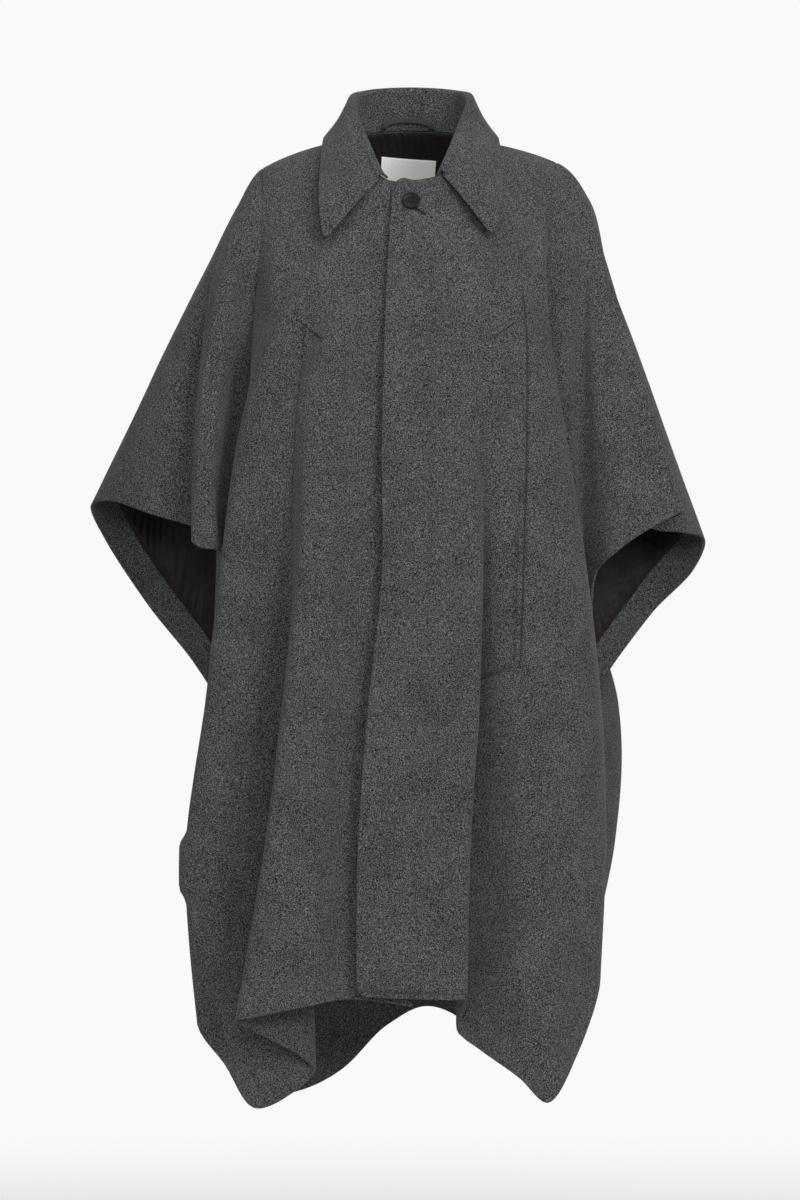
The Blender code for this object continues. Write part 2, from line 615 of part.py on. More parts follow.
def button(surface):
    """The neck button: a turned disc with a raised rim and four sewing holes."""
    x, z = BUTTON_PLACE
    _, normal = struck(surface, x, z, FRONT_SIDE)
    spots = [struck(surface, x + BUTTON_RADIUS * dx, z + BUTTON_RADIUS * dz, FRONT_SIDE)[0]
             for dx in (-1, -0.5, 0, 0.5, 1) for dz in (-1, -0.5, 0, 0.5, 1)]
    middle, _ = struck(surface, x, z, FRONT_SIDE)
    clearance = max(float(np.dot(spot - middle, normal)) for spot in spots) + LAYER_GAP
    seat = Vector(middle + normal * clearance) * MM
    turn = Vector((0.0, 0.0, 1.0)).rotation_difference(Vector(normal)).to_matrix().to_4x4()
    rim = BUTTON_RADIUS
    profile = ((0.0, 0.0), (rim - 2.0, 0.0), (rim, 1.4), (rim - 0.3, BUTTON_HEIGHT - 0.5),
               (rim - 1.6, BUTTON_HEIGHT), (rim - 3.4, BUTTON_HEIGHT - 0.9), (0.0, BUTTON_HEIGHT - 1.1))
    piece = new_object("button", finished_mesh("button", turned(profile, BUTTON_SIDES)), HORN_DARK, 0.35)
    cutter_work = bmesh.new()
    for dx, dy in ((1, 1), (-1, 1), (-1, -1), (1, -1)):
        hole = bmesh.ops.create_cone(cutter_work, cap_ends=True, segments=10, radius1=BUTTON_HOLE_RADIUS,
                                     radius2=BUTTON_HOLE_RADIUS, depth=3 * BUTTON_HEIGHT)
        bmesh.ops.translate(cutter_work, verts=hole["verts"],
                            vec=(dx * BUTTON_HOLE_OFFSET, dy * BUTTON_HOLE_OFFSET, 0.0))
    cutter = new_object("button_hole_cutter", finished_mesh("button_hole_cutter", cutter_work), HORN_DARK, 0.5)
    cutter.hide_render = True
    cutter.display_type = "WIRE"
    for each in (piece, cutter):
        each.matrix_world = turn
        each.location = seat
    holes = piece.modifiers.new("sewing holes", "BOOLEAN")
    holes.operation = "DIFFERENCE"
    holes.object = cutter
    return piece


# ---------------------------------------------------------------------------------------------
# The coat
# ---------------------------------------------------------------------------------------------


def shell_nets():
    """The nets of the wool shell, each with its rows and columns turned so that it faces out."""
    neck = round_neck("seam")
    neck_left = neck[:FRONT_NECK_COLS + 1]
    neck_back = neck[FRONT_NECK_COLS:FRONT_NECK_COLS + BACK_NECK_COLS + 1]
    neck_right = neck[::-1][:FRONT_NECK_COLS + 1]
    shoulder_left = shoulder_edge(SHOULDER_LEFT)
    shoulder_right = shoulder_edge(SHOULDER_RIGHT)
    front_left = body_net(FRONT_LEFT_FOLDS)
    front_right = body_net(FRONT_RIGHT_FOLDS)
    back = body_net(BACK_FOLDS, front_left[:, -1], front_right[:, -1])
    front_left[0, FRONT_LEFT_FOLDS[0].cols:] = np.vstack((neck_left, shoulder_left[1:]))
    front_right[0, FRONT_RIGHT_FOLDS[0].cols:] = np.vstack((neck_right, shoulder_right[1:]))
    back[0] = np.vstack((shoulder_left[::-1], neck_back[1:-1], shoulder_right))
    sleeve_left = sleeve_net(LEFT_SLEEVE_FOLDS, shoulder_left[-1], front_left[:, -1], back[:, 0])
    sleeve_right = sleeve_net(RIGHT_SLEEVE_FOLDS, shoulder_right[-1], front_right[:, -1], back[:, -1])
    return {
        "front_left": front_left,
        "front_right": front_right[:, ::-1],
        "back": back,
        "sleeve_left": sleeve_left,
        "sleeve_right": sleeve_right[:, ::-1],
        "collar": collar_net()[:, ::-1],
    }


def drawn_in_panel(name, net):
    """A panel's net, or a part of one, drawn in by the seam gap on all sides."""
    moved = drawn_in(net, SEAM_GAP)
    if name.startswith("sleeve"):
        moved[0] = net[0, 0] + (moved[1].mean(axis=0) - net[0, 0]) * SLEEVE_TIP_SHARE
    return moved


def build_coat():
    nets = shell_nets()
    normals = shared_normals(nets)
    collar_normals = shared_normals({"collar": nets["collar"]})["collar"]
    collar_normals[0] = normals["collar"][0]
    normals["collar"] = collar_normals
    pieces = {}
    for name, net in nets.items():
        wall = COLLAR_WALL if name == "collar" else WOOL_WALL
        pieces[name] = cloth(name, drawn_in_panel(name, net), normals[name], 0.0, wall, WOOL, 0.95)
    inside = WOOL_WALL + LAYER_GAP
    for name, part, first, last in LINED:
        net = nets[part]
        lined = slice(first, net.shape[1] + last)
        facing_name = name.replace("lining", "facing")
        drawn = drawn_in(net[-2:, lined if part.startswith("front") else slice(None)], SEAM_GAP)
        flat_normals = normals[part][-2:, lined if part.startswith("front") else slice(None)]
        pieces[facing_name] = cloth(facing_name, drawn, flat_normals, inside, INNER_WALL, WOOL, 0.95)
        rows = slice(2 if part.startswith("sleeve") else 0, -1)
        drawn = drawn_in(net[rows, lined], SEAM_GAP)
        pieces[name] = cloth(name, drawn, normals[part][rows, lined], inside, INNER_WALL, SATIN_BLACK, 0.35)
    front = surface_of(pieces["front_left"])
    for dart in DARTS:
        surface = surface_of(pieces[dart.panel])
        pieces[dart.name] = chest_dart(dart.name, surface, dart)
    neck_label(surface_of(pieces["lining_back"]))
    hanger_loop(surface_of(pieces["collar"]))
    button(front)


def main():
    for item in list(bpy.data.objects):
        bpy.data.objects.remove(item, do_unlink=True)
    build_coat()


if __name__ == "__main__":
    main()
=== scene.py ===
# %% [markdown]
# # A wool cape coat, filled out and hollow
#
# The coat is a few large panels of brushed wool, sewn together and lined with satin. It hangs
# as if on a wearer who isn't there, so the cloth has to stand as a thin shell round an empty
# space. One way to make it is a cloth simulation on a dummy. Here every fold's place is known,
# so the panels are drawn from their fold lines instead: that keeps each fold where it belongs,
# and it gives the same coat on every run.

# %% Load the frame
import json
from collections import namedtuple
from math import cos, pi, sin

import bmesh
import bpy
import numpy as np
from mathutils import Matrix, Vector, noise
from mathutils.bvhtree import BVHTree
from mathutils.kdtree import KDTree

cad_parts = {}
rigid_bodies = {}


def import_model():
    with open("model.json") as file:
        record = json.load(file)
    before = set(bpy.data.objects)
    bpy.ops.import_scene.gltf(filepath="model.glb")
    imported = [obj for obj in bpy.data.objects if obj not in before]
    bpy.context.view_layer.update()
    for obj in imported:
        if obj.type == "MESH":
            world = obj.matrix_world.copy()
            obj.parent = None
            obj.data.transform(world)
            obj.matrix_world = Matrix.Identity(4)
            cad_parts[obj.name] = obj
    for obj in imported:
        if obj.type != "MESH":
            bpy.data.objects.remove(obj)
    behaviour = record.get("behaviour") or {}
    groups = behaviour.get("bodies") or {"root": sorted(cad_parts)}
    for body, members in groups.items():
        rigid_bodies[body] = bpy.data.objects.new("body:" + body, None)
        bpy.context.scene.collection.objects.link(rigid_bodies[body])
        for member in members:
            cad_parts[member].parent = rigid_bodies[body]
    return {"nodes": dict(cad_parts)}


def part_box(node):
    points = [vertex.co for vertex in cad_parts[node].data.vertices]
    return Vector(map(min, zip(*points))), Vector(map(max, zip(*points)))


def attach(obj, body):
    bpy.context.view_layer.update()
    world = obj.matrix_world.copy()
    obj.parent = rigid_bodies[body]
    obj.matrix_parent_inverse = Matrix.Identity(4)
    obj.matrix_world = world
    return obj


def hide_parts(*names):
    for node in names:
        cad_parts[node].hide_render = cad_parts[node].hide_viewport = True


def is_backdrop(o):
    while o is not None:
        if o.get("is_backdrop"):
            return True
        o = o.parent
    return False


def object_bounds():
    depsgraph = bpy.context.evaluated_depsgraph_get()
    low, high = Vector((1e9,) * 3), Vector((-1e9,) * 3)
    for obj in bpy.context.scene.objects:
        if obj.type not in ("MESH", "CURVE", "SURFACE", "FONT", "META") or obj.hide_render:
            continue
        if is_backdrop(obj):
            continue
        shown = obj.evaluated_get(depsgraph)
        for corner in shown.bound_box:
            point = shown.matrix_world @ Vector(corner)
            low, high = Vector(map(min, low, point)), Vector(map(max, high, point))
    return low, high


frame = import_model()
cad_box = [list(corner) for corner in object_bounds()]
print("the packed coat has", len(frame["nodes"]), "nodes")

# %% [markdown]
# ## The coat's own sizes
#
# All tables are in millimetres, because that is how a tailor measures, and they are turned to
# metres only when a mesh is made. +Z is up, the front faces -Y, and +X is the wearer's left.

# %% Sizes
MM = 0.001
WOOL_WALL = 2.0
LINING_WALL = 0.5
FACING_WALL = 1.0
COLLAR_WALL = 3.0
LAYER_GAP = 0.3
SEAM_GAP = 0.3
SLEEVE_FACING = 48.0
HEM_FACING = 105.0
ROW_STEP = 6.0
COL_STEP = 5.0
FINE_COL_STEP = 2.1
SLEEVE_COL_STEP = 2.8
EDGE_STEPS = (2.4, 4.4)
SEWN_STEPS = (0.9, 2.0, 3.6)
HEM_STEPS = (2.4, 4.4, 6.0, 7.0, 8.0, 10.0)

LEVELS = {"yoke": 80, "chest": 190, "waist": 340, "hip": 490, "underarm": 640, "knee": 810}
HEM_DEPTH = 1000
ARMHOLE_ROWS = (0, 14, 40, 80, 135, 190, 265, 340, 415, 490)
SKIRT_ROWS = (725, 810)
CUFF_ROW = 10
UNDERARM_ROW = 11
FACING_ROW = 15
HEM_ROW = 16
SHOULDER_PULL = (1.0, 1.4, 0.4)
SLEEVE_PULL = (1.35, 1.0, 0.6)

SHOULDER_LEFT = ((78, 0, 31), (107, 0, 28), (145, -1, 18), (174, -3, 7))
SHOULDER_RIGHT = ((-78, 0, 31), (-107, 0, 28), (-147, -1, 15), (-178, -3, 0))

NeckPoint = namedtuple("NeckPoint", "name seam roll leaf_edge")
NECK = (
    NeckPoint("left front", (31, -75, -15), (38, -80, -12), (96, -98, -90)),
    NeckPoint("left collarbone", (62, -46, 6), (56, -36, 38), (108, -80, -44)),
    NeckPoint("left side", (78, 0, 31), (71, 8, 83), (104, -8, 32)),
    NeckPoint("left nape", (56, 47, 45), (54, 50, 95), (92, 50, 17)),
    NeckPoint("nape", (0, 68, 51), (0, 64, 100), (0, 91, 13)),
    NeckPoint("right nape", (-56, 47, 45), (-54, 50, 95), (-92, 50, 17)),
    NeckPoint("right side", (-78, 0, 31), (-71, 8, 81), (-104, -8, 32)),
    NeckPoint("right collarbone", (-60, -46, 5), (-58, -36, 36), (-109, -80, -46)),
    NeckPoint("right front", (-28, -70, -19), (-38, -77, -16), (-99, -99, -91)),
)
FRONT_NECK_COLS = 6
BACK_NECK_COLS = 8
SHOULDER_COLS = 10
ROLL_RADIUS = 2.5
print("neck points:", ", ".join(point.name for point in NECK))

# %% [markdown]
# ## Fold lines
#
# A fold line runs down the cloth from the neck or shoulder to the hem. Each row of these tables
# is one line, and the columns say how far sideways and how deep it lies at each level. A ridge
# and the valley beside it make one fold. This is far less to keep than a sculpted mesh, and a
# fold that is wrong can be put right by changing one row.

# %% The body's fold lines
Fold = namedtuple("Fold", "name cols top yoke chest waist hip underarm knee hem")

ARMHOLE_FRONT_LEFT = {
    "yoke": (164, -55), "chest": (159, -61), "waist": (172, -58), "hip": (191, -38),
    "underarm": (214, 18), "knee": (212, 16), "hem": (203, 8, -962),
}
ARMHOLE_BACK_LEFT = {
    "yoke": (171, 42), "chest": (176, 72), "waist": (184, 76), "hip": (194, 60),
    "underarm": (214, 18), "knee": (212, 16), "hem": (203, 8, -962),
}
ARMHOLE_FRONT_RIGHT = {
    "yoke": (-178, -54), "chest": (-188, -61), "waist": (-196, -56), "hip": (-209, -36),
    "underarm": (-230, 18), "knee": (-236, 16), "hem": (-226, 18, -985),
}
ARMHOLE_BACK_RIGHT = {
    "yoke": (-177, 42), "chest": (-184, 72), "waist": (-194, 76), "hip": (-207, 60),
    "underarm": (-230, 18), "knee": (-236, 16), "hem": (-226, 18, -985),
}

FRONT_LEFT_FOLDS = (
    Fold("placket edge", 2, (-21, -76, -23), (-26, -95), (-31, -131), (-35, -146),
         (-35, -150), (-51, -155), (-63, -158), (-64, -160, -982)),
    Fold("fly stitching", 2, (31, -75, -15), (23, -98), (23, -133), (22, -148),
         (20, -153), (16, -159), (4, -166), (10, -171, -984)),
    Fold("panel fold", 1, (52, -57, -3), (52, -95), (74, -133), (75, -147),
         (80, -155), (78, -164), (68, -170), (64, -176, -985)),
    Fold("panel turn", 1, (62, -46, 6), (62, -93), (80, -131), (81, -143),
         (84, -146), (79, -153), (69, -158), (65, -164, -987)),
    Fold("deep valley", 2, (70, -26, 18), (74, -90), (86, -129), (86, -138),
         (83, -129), (76, -116), (64, -110), (58, -110, -1030)),
    Fold("inner front", 2, (78, 0, 31), (90, -85), (98, -125), (95, -139),
         (96, -136), (95, -131), (97, -127), (80, -121, -1047)),
    Fold("pocket seam", 1, (98, 0, 29), (118, -78), (134, -113), (136, -133),
         (131, -141), (127, -142), (127, -143), (126, -145, -1078)),
    Fold("front ridge", 2, (108, 0, 28), (134, -73), (147, -103), (157, -125),
         (157, -137), (156, -141), (156, -143), (160, -148, -1107)),
    Fold("side slope", 2, (127, -1, 23), (146, -68), (157, -97), (174, -116),
         (190, -123), (199, -124), (203, -122), (197, -120, -1050)),
    Fold("side ridge", 3, (146, -1, 18), (156, -65), (163, -90), (186, -100),
         (208, -103), (222, -99), (229, -94), (224, -88, -970)),
    Fold("side seam", 0, (174, -3, 7), **ARMHOLE_FRONT_LEFT),
)

FRONT_RIGHT_FOLDS = (
    Fold("underlap edge", 2, (14, -70, -21), (17, -90), (17, -126), (16, -141),
         (15, -145), (10, -151), (2, -154), (1, -156, -994)),
    Fold("placket shadow", 2, (-28, -70, -19), (-33, -89), (-43, -121), (-47, -134),
         (-51, -137), (-61, -139), (-74, -139), (-75, -145, -986)),
    Fold("front swell", 2, (-50, -57, -4), (-64, -92), (-76, -129), (-80, -147),
         (-89, -155), (-97, -159), (-109, -163), (-118, -167, -992)),
    Fold("layer flat", 1, (-68, -32, 14), (-84, -88), (-96, -128), (-108, -151),
         (-114, -159), (-128, -164), (-150, -167), (-182, -167, -1005)),
    Fold("layer edge", 1, (-74, -16, 24), (-94, -86), (-106, -126), (-122, -149),
         (-131, -157), (-147, -162), (-170, -163), (-204, -162, -1009)),
    Fold("layer turn", 2, (-78, 0, 31), (-102, -83), (-114, -123), (-129, -142),
         (-137, -147), (-151, -151), (-172, -151), (-205, -151, -1012)),
    Fold("layer valley", 2, (-98, 0, 29), (-114, -79), (-126, -116), (-138, -133),
         (-141, -121), (-137, -108), (-124, -96), (-116, -85, -1075)),
    Fold("side layer", 1, (-118, 0, 24), (-132, -75), (-143, -112), (-160, -125),
         (-170, -118), (-175, -105), (-174, -93), (-142, -80, -1103)),
    Fold("corner", 1, (-128, 0, 21), (-144, -72), (-153, -111), (-182, -119),
         (-198, -113), (-207, -106), (-214, -96), (-187, -68, -1121)),
    Fold("side slope", 1, (-138, -1, 18), (-154, -70), (-161, -108), (-196, -114),
         (-214, -112), (-229, -106), (-248, -95), (-222, -60, -1070)),
    Fold("side ridge", 3, (-148, -1, 15), (-161, -68), (-170, -102), (-207, -103),
         (-226, -103), (-242, -98), (-266, -84), (-254, -60, -1024)),
    Fold("side seam", 0, (-178, -3, 0), **ARMHOLE_FRONT_RIGHT),
)

BACK_FOLDS = (
    Fold("left seam", 3, (174, -3, 7), **ARMHOLE_BACK_LEFT),
    Fold("left side ridge", 3, (146, -1, 18), (150, 66), (163, 96), (186, 104),
         (204, 100), (252, 92), (248, 88), (206, 78, -984)),
    Fold("left corner", 2, (118, -1, 25), (122, 84), (143, 109), (162, 121),
         (172, 130), (186, 138), (186, 145), (166, 150, -1118)),
    Fold("left valley", 2, (98, 0, 29), (100, 92), (116, 108), (126, 115),
         (130, 118), (134, 121), (132, 126), (118, 144, -1090)),
    Fold("left blade", 2, (78, 0, 31), (78, 98), (84, 113), (88, 125),
         (92, 139), (96, 151), (98, 163), (88, 178, -1064)),
    Fold("left inner valley", 2, (56, 47, 45), (40, 99), (46, 109), (50, 118),
         (53, 126), (57, 136), (60, 147), (50, 166, -1027)),
    Fold("centre", 2, (0, 68, 51), (2, 99), (5, 112), (8, 125),
         (10, 141), (13, 155), (16, 169), (14, 186, -1021)),
    Fold("right inner valley", 2, (-56, 47, 45), (-38, 99), (-38, 110), (-38, 120),
         (-37, 129), (-36, 139), (-36, 151), (-30, 172, -1043)),
    Fold("right blade", 2, (-78, 0, 31), (-80, 98), (-84, 113), (-86, 126),
         (-88, 142), (-90, 156), (-92, 168), (-84, 180, -1097)),
    Fold("right valley", 2, (-98, 0, 29), (-102, 91), (-118, 107), (-128, 113),
         (-135, 115), (-141, 117), (-146, 122), (-138, 156, -1122)),
    Fold("right corner", 3, (-118, 0, 24), (-124, 84), (-147, 109), (-166, 120),
         (-180, 128), (-193, 135), (-198, 142), (-176, 148, -1125)),
    Fold("right side ridge", 3, (-148, -1, 15), (-155, 66), (-168, 96), (-193, 103),
         (-214, 100), (-236, 93), (-248, 86), (-232, 80, -1000)),
    Fold("right seam", 0, (-178, -3, 0), **ARMHOLE_BACK_RIGHT),
)
print("body fold lines:", len(FRONT_LEFT_FOLDS) + len(FRONT_RIGHT_FOLDS) + len(BACK_FOLDS))

# %% The sleeves' fold lines
SleeveFold = namedtuple("SleeveFold", "name cols yoke chest waist hip hem")

LEFT_SLEEVE_FOLDS = (
    SleeveFold("under front", 1, (186, -42, -62), (186, -62, -165), (187, -66, -285),
               (200, -54, -440), (215, -14, -592)),
    SleeveFold("front valley", 1, (202, -28, -50), (207, -44, -142), (201, -53, -252),
               (206, -56, -378), (219, -60, -486)),
    SleeveFold("front swell", 1, (207, -23, -44), (221, -48, -134), (225, -66, -244),
               (234, -78, -360), (243, -83, -461)),
    SleeveFold("front layer", 2, (208, -18, -38), (227, -45, -122), (244, -66, -227),
               (262, -81, -338), (277, -87, -437)),
    SleeveFold("front edge", 1, (208, -13, -33), (231, -38, -109), (260, -58, -209),
               (292, -73, -312), (321, -82, -414)),
    SleeveFold("edge turn", 1, (209, -10, -33), (232, -31, -109), (261, -48, -209),
               (293, -62, -314), (322, -70, -416)),
    SleeveFold("edge valley", 2, (210, -8, -34), (232, -23, -112), (256, -34, -211),
               (280, -45, -320), (290, -50, -433)),
    SleeveFold("second layer", 1, (212, -5, -36), (235, -10, -118), (268, -18, -221),
               (304, -23, -331), (329, -32, -438)),
    SleeveFold("outer fold", 2, (214, -1, -38), (236, 3, -122), (275, 7, -228),
               (315, 14, -337), (355, 24, -447)),
    SleeveFold("back outer", 2, (210, 9, -40), (231, 23, -124), (266, 40, -235),
               (305, 54, -347), (341, 62, -484)),
    SleeveFold("back middle", 2, (202, 21, -46), (219, 46, -136), (247, 70, -255),
               (277, 82, -379), (296, 84, -531)),
    SleeveFold("back inner", 2, (188, 33, -56), (201, 62, -156), (220, 78, -295),
               (238, 70, -444), (250, 56, -588)),
)

RIGHT_SLEEVE_FOLDS = (
    SleeveFold("under front", 1, (-187, -48, -64), (-201, -72, -172), (-213, -68, -300),
               (-223, -56, -445), (-235, -14, -594)),
    SleeveFold("front swell", 1, (-195, -46, -57), (-214, -82, -158), (-227, -93, -272),
               (-236, -95, -378), (-224, -84, -463)),
    SleeveFold("front layer", 1, (-199, -39, -50), (-223, -76, -140), (-238, -90, -248),
               (-248, -97, -355), (-250, -95, -456)),
    SleeveFold("front edge", 1, (-201, -32, -45), (-230, -66, -122), (-247, -83, -225),
               (-257, -92, -335), (-260, -93, -449)),
    SleeveFold("edge turn", 1, (-203, -27, -44), (-232, -56, -121), (-249, -72, -223),
               (-258, -81, -333), (-258, -82, -445)),
    SleeveFold("edge valley", 2, (-204, -21, -44), (-235, -43, -120), (-249, -58, -217),
               (-249, -65, -328), (-242, -64, -438)),
    SleeveFold("second layer", 1, (-206, -13, -46), (-241, -28, -120), (-275, -43, -210),
               (-300, -48, -316), (-310, -46, -416)),
    SleeveFold("outer slope", 1, (-207, -7, -47), (-244, -11, -120), (-287, -20, -209),
               (-327, -22, -308), (-358, -16, -400)),
    SleeveFold("outer fold", 2, (-209, -1, -48), (-246, 4, -121), (-291, 10, -211),
               (-339, 16, -311), (-386, 25, -404)),
    SleeveFold("back outer", 2, (-203, 9, -48), (-238, 24, -125), (-283, 42, -220),
               (-326, 56, -325), (-370, 70, -447)),
    SleeveFold("back middle", 2, (-196, 21, -50), (-222, 48, -139), (-256, 72, -253),
               (-290, 84, -376), (-320, 86, -524)),
    SleeveFold("back inner", 2, (-187, 33, -58), (-208, 64, -162), (-230, 80, -298),
               (-249, 72, -440), (-265, 56, -590)),
)
print("sleeve fold lines:", len(LEFT_SLEEVE_FOLDS) + len(RIGHT_SLEEVE_FOLDS))

# %% [markdown]
# ## From lines to a sheet
#
# Each line is smoothed into a curve, points are read off all curves at the same depth, and a
# second curve joins those points across the cloth. Rows of such curves are a grid, and a grid is
# the easiest cloth to work on: every point has a neighbour up, down, left and right.


# %% Smooth curves
def smooth(t):
    t = np.clip(t, 0.0, 1.0)
    return t * t * (3.0 - 2.0 * t)


def curve_at(points, knots, places, start_pull=(1.0, 1.0, 1.0)):
    points = np.asarray(points, float)
    knots = np.asarray(knots, float)
    places = np.asarray(places, float)
    steps = np.diff(knots)[:, None]
    slopes = np.diff(points, axis=0) / steps
    inner = (slopes[:-1] * steps[1:] + slopes[1:] * steps[:-1]) / (steps[1:] + steps[:-1])
    tangents = np.vstack((1.5 * slopes[:1] - 0.5 * inner[:1], inner,
                          1.5 * slopes[-1:] - 0.5 * inner[-1:]))
    tangents[0] *= start_pull
    span = np.clip(np.searchsorted(knots, places, side="right") - 1, 0, len(knots) - 2)
    width = steps[span]
    t = ((places - knots[span])[:, None]) / width
    start = (2 * t ** 3 - 3 * t ** 2 + 1) * points[span]
    start += (t ** 3 - 2 * t ** 2 + t) * width * tangents[span]
    end = (3 * t ** 2 - 2 * t ** 3) * points[span + 1]
    end += (t ** 3 - t ** 2) * width * tangents[span + 1]
    return start + end


def curve_knots(points):
    gaps = np.linalg.norm(np.diff(np.asarray(points, float), axis=0), axis=1)
    return np.concatenate(((0.0,), np.cumsum(np.sqrt(np.maximum(gaps, 0.5)))))


def close_places(lengths, steps, near):
    """Places along a run of spans, close enough to look smooth and closer beside some knots."""
    fixed = set(range(len(lengths) + 1))
    for knot, distances in near.items():
        for distance in distances:
            if knot < len(lengths):
                fixed.add(knot + distance / lengths[knot])
            if knot > 0:
                fixed.add(knot - distance / lengths[knot - 1])
    fixed = sorted(place for place in fixed if 0 <= place <= len(lengths))
    places = []
    for start, end in zip(fixed, fixed[1:]):
        span = min(int(start + 1e-9), len(lengths) - 1)
        count = max(1, round((end - start) * lengths[span] / steps[span]))
        places.extend(start + (end - start) * k / count for k in range(count))
    return np.array([*places, fixed[-1]])


SKIRT_SPAN = (HEM_DEPTH - SKIRT_ROWS[-1] - HEM_FACING) / 2
BODY_SPANS = (*np.diff(ARMHOLE_ROWS), 102, 48, 85, 85, SKIRT_SPAN, SKIRT_SPAN, HEM_FACING)
CUFF_STEP = 2.2
body_steps = [ROW_STEP] * len(BODY_SPANS)
body_steps[CUFF_ROW] = CUFF_STEP
BODY_PLACES = close_places(BODY_SPANS, body_steps,
                           {0: EDGE_STEPS, UNDERARM_ROW: HEM_STEPS, HEM_ROW: HEM_STEPS})
SLEEVE_PLACES = BODY_PLACES[BODY_PLACES <= UNDERARM_ROW]
print("rows down the body:", len(BODY_PLACES), "and down a sleeve:", len(SLEEVE_PLACES))


# %% Fold lines as curves
def depth_before_end(points, knots, distance):
    fine = np.linspace(knots[-2], knots[-1], 81)
    path = curve_at(points, knots, fine)
    lengths = np.linalg.norm(np.diff(path, axis=0), axis=1)
    left = np.concatenate((np.cumsum(lengths[::-1])[::-1], (0.0,)))
    return float(np.interp(distance, left[::-1], fine[::-1]))


def body_line(fold):
    levels = [(*getattr(fold, name), -depth) for name, depth in LEVELS.items()]
    points = [fold.top, *levels, fold.hem]
    knots = [0, *LEVELS.values(), HEM_DEPTH]
    cuff = LEVELS["underarm"] - SLEEVE_FACING
    facing = depth_before_end(points, knots, HEM_FACING)
    between = 0.5 * (SKIRT_ROWS[-1] + facing)
    rows = (*ARMHOLE_ROWS, cuff, LEVELS["underarm"], *SKIRT_ROWS, between, facing, HEM_DEPTH)
    depths = np.interp(BODY_PLACES, range(len(rows)), rows)
    return curve_at(points, knots, depths, SHOULDER_PULL)


def sleeve_line(fold, tip):
    points = [tip, fold.yoke, fold.chest, fold.waist, fold.hip, fold.hem]
    knots = [0, *list(LEVELS.values())[:5]]
    rows = (*ARMHOLE_ROWS, depth_before_end(points, knots, SLEEVE_FACING), LEVELS["underarm"])
    depths = np.interp(SLEEVE_PLACES, range(len(rows)), rows)
    return curve_at(points, knots, depths, SLEEVE_PULL)


def across(lines, places):
    rows = []
    for row in np.swapaxes(lines, 0, 1):
        knots = curve_knots(row)
        rows.append(curve_at(row, knots, np.interp(places, range(len(row)), knots)))
    return np.array(rows)


def line_gaps(lines):
    """How far apart neighbouring lines lie, on average, for spacing the columns."""
    gaps = np.linalg.norm(np.diff(np.array(lines), axis=0), axis=2)
    return gaps[:, gaps.shape[1] // 4:].mean(axis=1)


# %% The neck and shoulder seams
def neck_at(columns):
    """The neck seam, roll and leaf edge read at collar columns, which may lie between two."""
    side = (len(NECK) - 1) / 4
    left = np.linspace(0, side, FRONT_NECK_COLS + 1)
    back = np.linspace(side, 3 * side, BACK_NECK_COLS + 1)
    right = np.linspace(3 * side, 4 * side, FRONT_NECK_COLS + 1)
    places = np.concatenate((left, back[1:], right[1:]))
    places = np.interp(columns, range(len(places)), places)
    knots = range(len(NECK))
    return [curve_at([getattr(row, name) for row in NECK], knots, places)
            for name in ("seam", "roll", "leaf_edge")]


def shoulder_at(points, columns):
    places = np.asarray(columns) / SHOULDER_COLS * (len(points) - 1)
    return curve_at(points, range(len(points)), places)


SEAM_FADE = 1.6


def seam_over(net, columns, first, last, curve):
    """Moves the top of a net onto a seam, and lets the change die out a little way down."""
    on_seam = (columns >= first - 1e-9) & (columns <= last + 1e-9)
    change = np.zeros_like(net[0])
    change[on_seam] = curve(columns[on_seam]) - net[0, on_seam]
    fade = 1.0 - smooth(BODY_PLACES / SEAM_FADE)
    net += fade[:, None, None] * change


# %% The panels as grids
def column_numbers(folds, places):
    return np.interp(places, range(len(folds)), np.cumsum([0, *(fold.cols for fold in folds[:-1])]))


def body_net(folds, near, first_seam=None, last_seam=None, fine=()):
    lines = [body_line(fold) for fold in folds]
    below = BODY_PLACES >= UNDERARM_ROW - 1e-9
    for line, seam in ((lines[0], first_seam), (lines[-1], last_seam)):
        if seam is not None:
            line[below] = seam[below]
    gaps = line_gaps(lines)
    names = [fold.name for fold in folds]
    spaced = {0: EDGE_STEPS, len(folds) - 1: EDGE_STEPS}
    spaced.update({names.index(name): distances for name, distances in near.items()})
    spacing = [FINE_COL_STEP if name in fine else COL_STEP for name in names[:-1]]
    places = close_places(gaps, spacing, spaced)
    return across(lines, places), places, column_numbers(folds, places)


NAPE_FOLDS = ("left blade", "left inner valley", "centre", "right inner valley")
POCKET_STEPS = (*SEWN_STEPS, 6.2, 7.2, 8.0, 8.8, 9.8)
front_left, left_places, columns = body_net(
    FRONT_LEFT_FOLDS, {"pocket seam": POCKET_STEPS, "fly stitching": SEWN_STEPS})
seam_over(front_left, columns, 2, 8, lambda c: neck_at(c - 2)[0])
seam_over(front_left, columns, 8, 18, lambda c: shoulder_at(SHOULDER_LEFT, c - 8))
front_right, right_places, columns = body_net(FRONT_RIGHT_FOLDS, {"layer valley": SEWN_STEPS})
seam_over(front_right, columns, 2, 8, lambda c: neck_at(20 - (c - 2))[0])
seam_over(front_right, columns, 8, 18, lambda c: shoulder_at(SHOULDER_RIGHT, c - 8))
back, _, columns = body_net(BACK_FOLDS, {}, front_left[:, -1], front_right[:, -1], NAPE_FOLDS)
seam_over(back, columns, 0, 10, lambda c: shoulder_at(SHOULDER_LEFT, 10 - c))
seam_over(back, columns, 10, 18, lambda c: neck_at(c - 10 + FRONT_NECK_COLS)[0])
seam_over(back, columns, 18, 28, lambda c: shoulder_at(SHOULDER_RIGHT, c - 18))


SLEEVE_FINE = ("outer fold", "back outer", "back middle", "back inner")


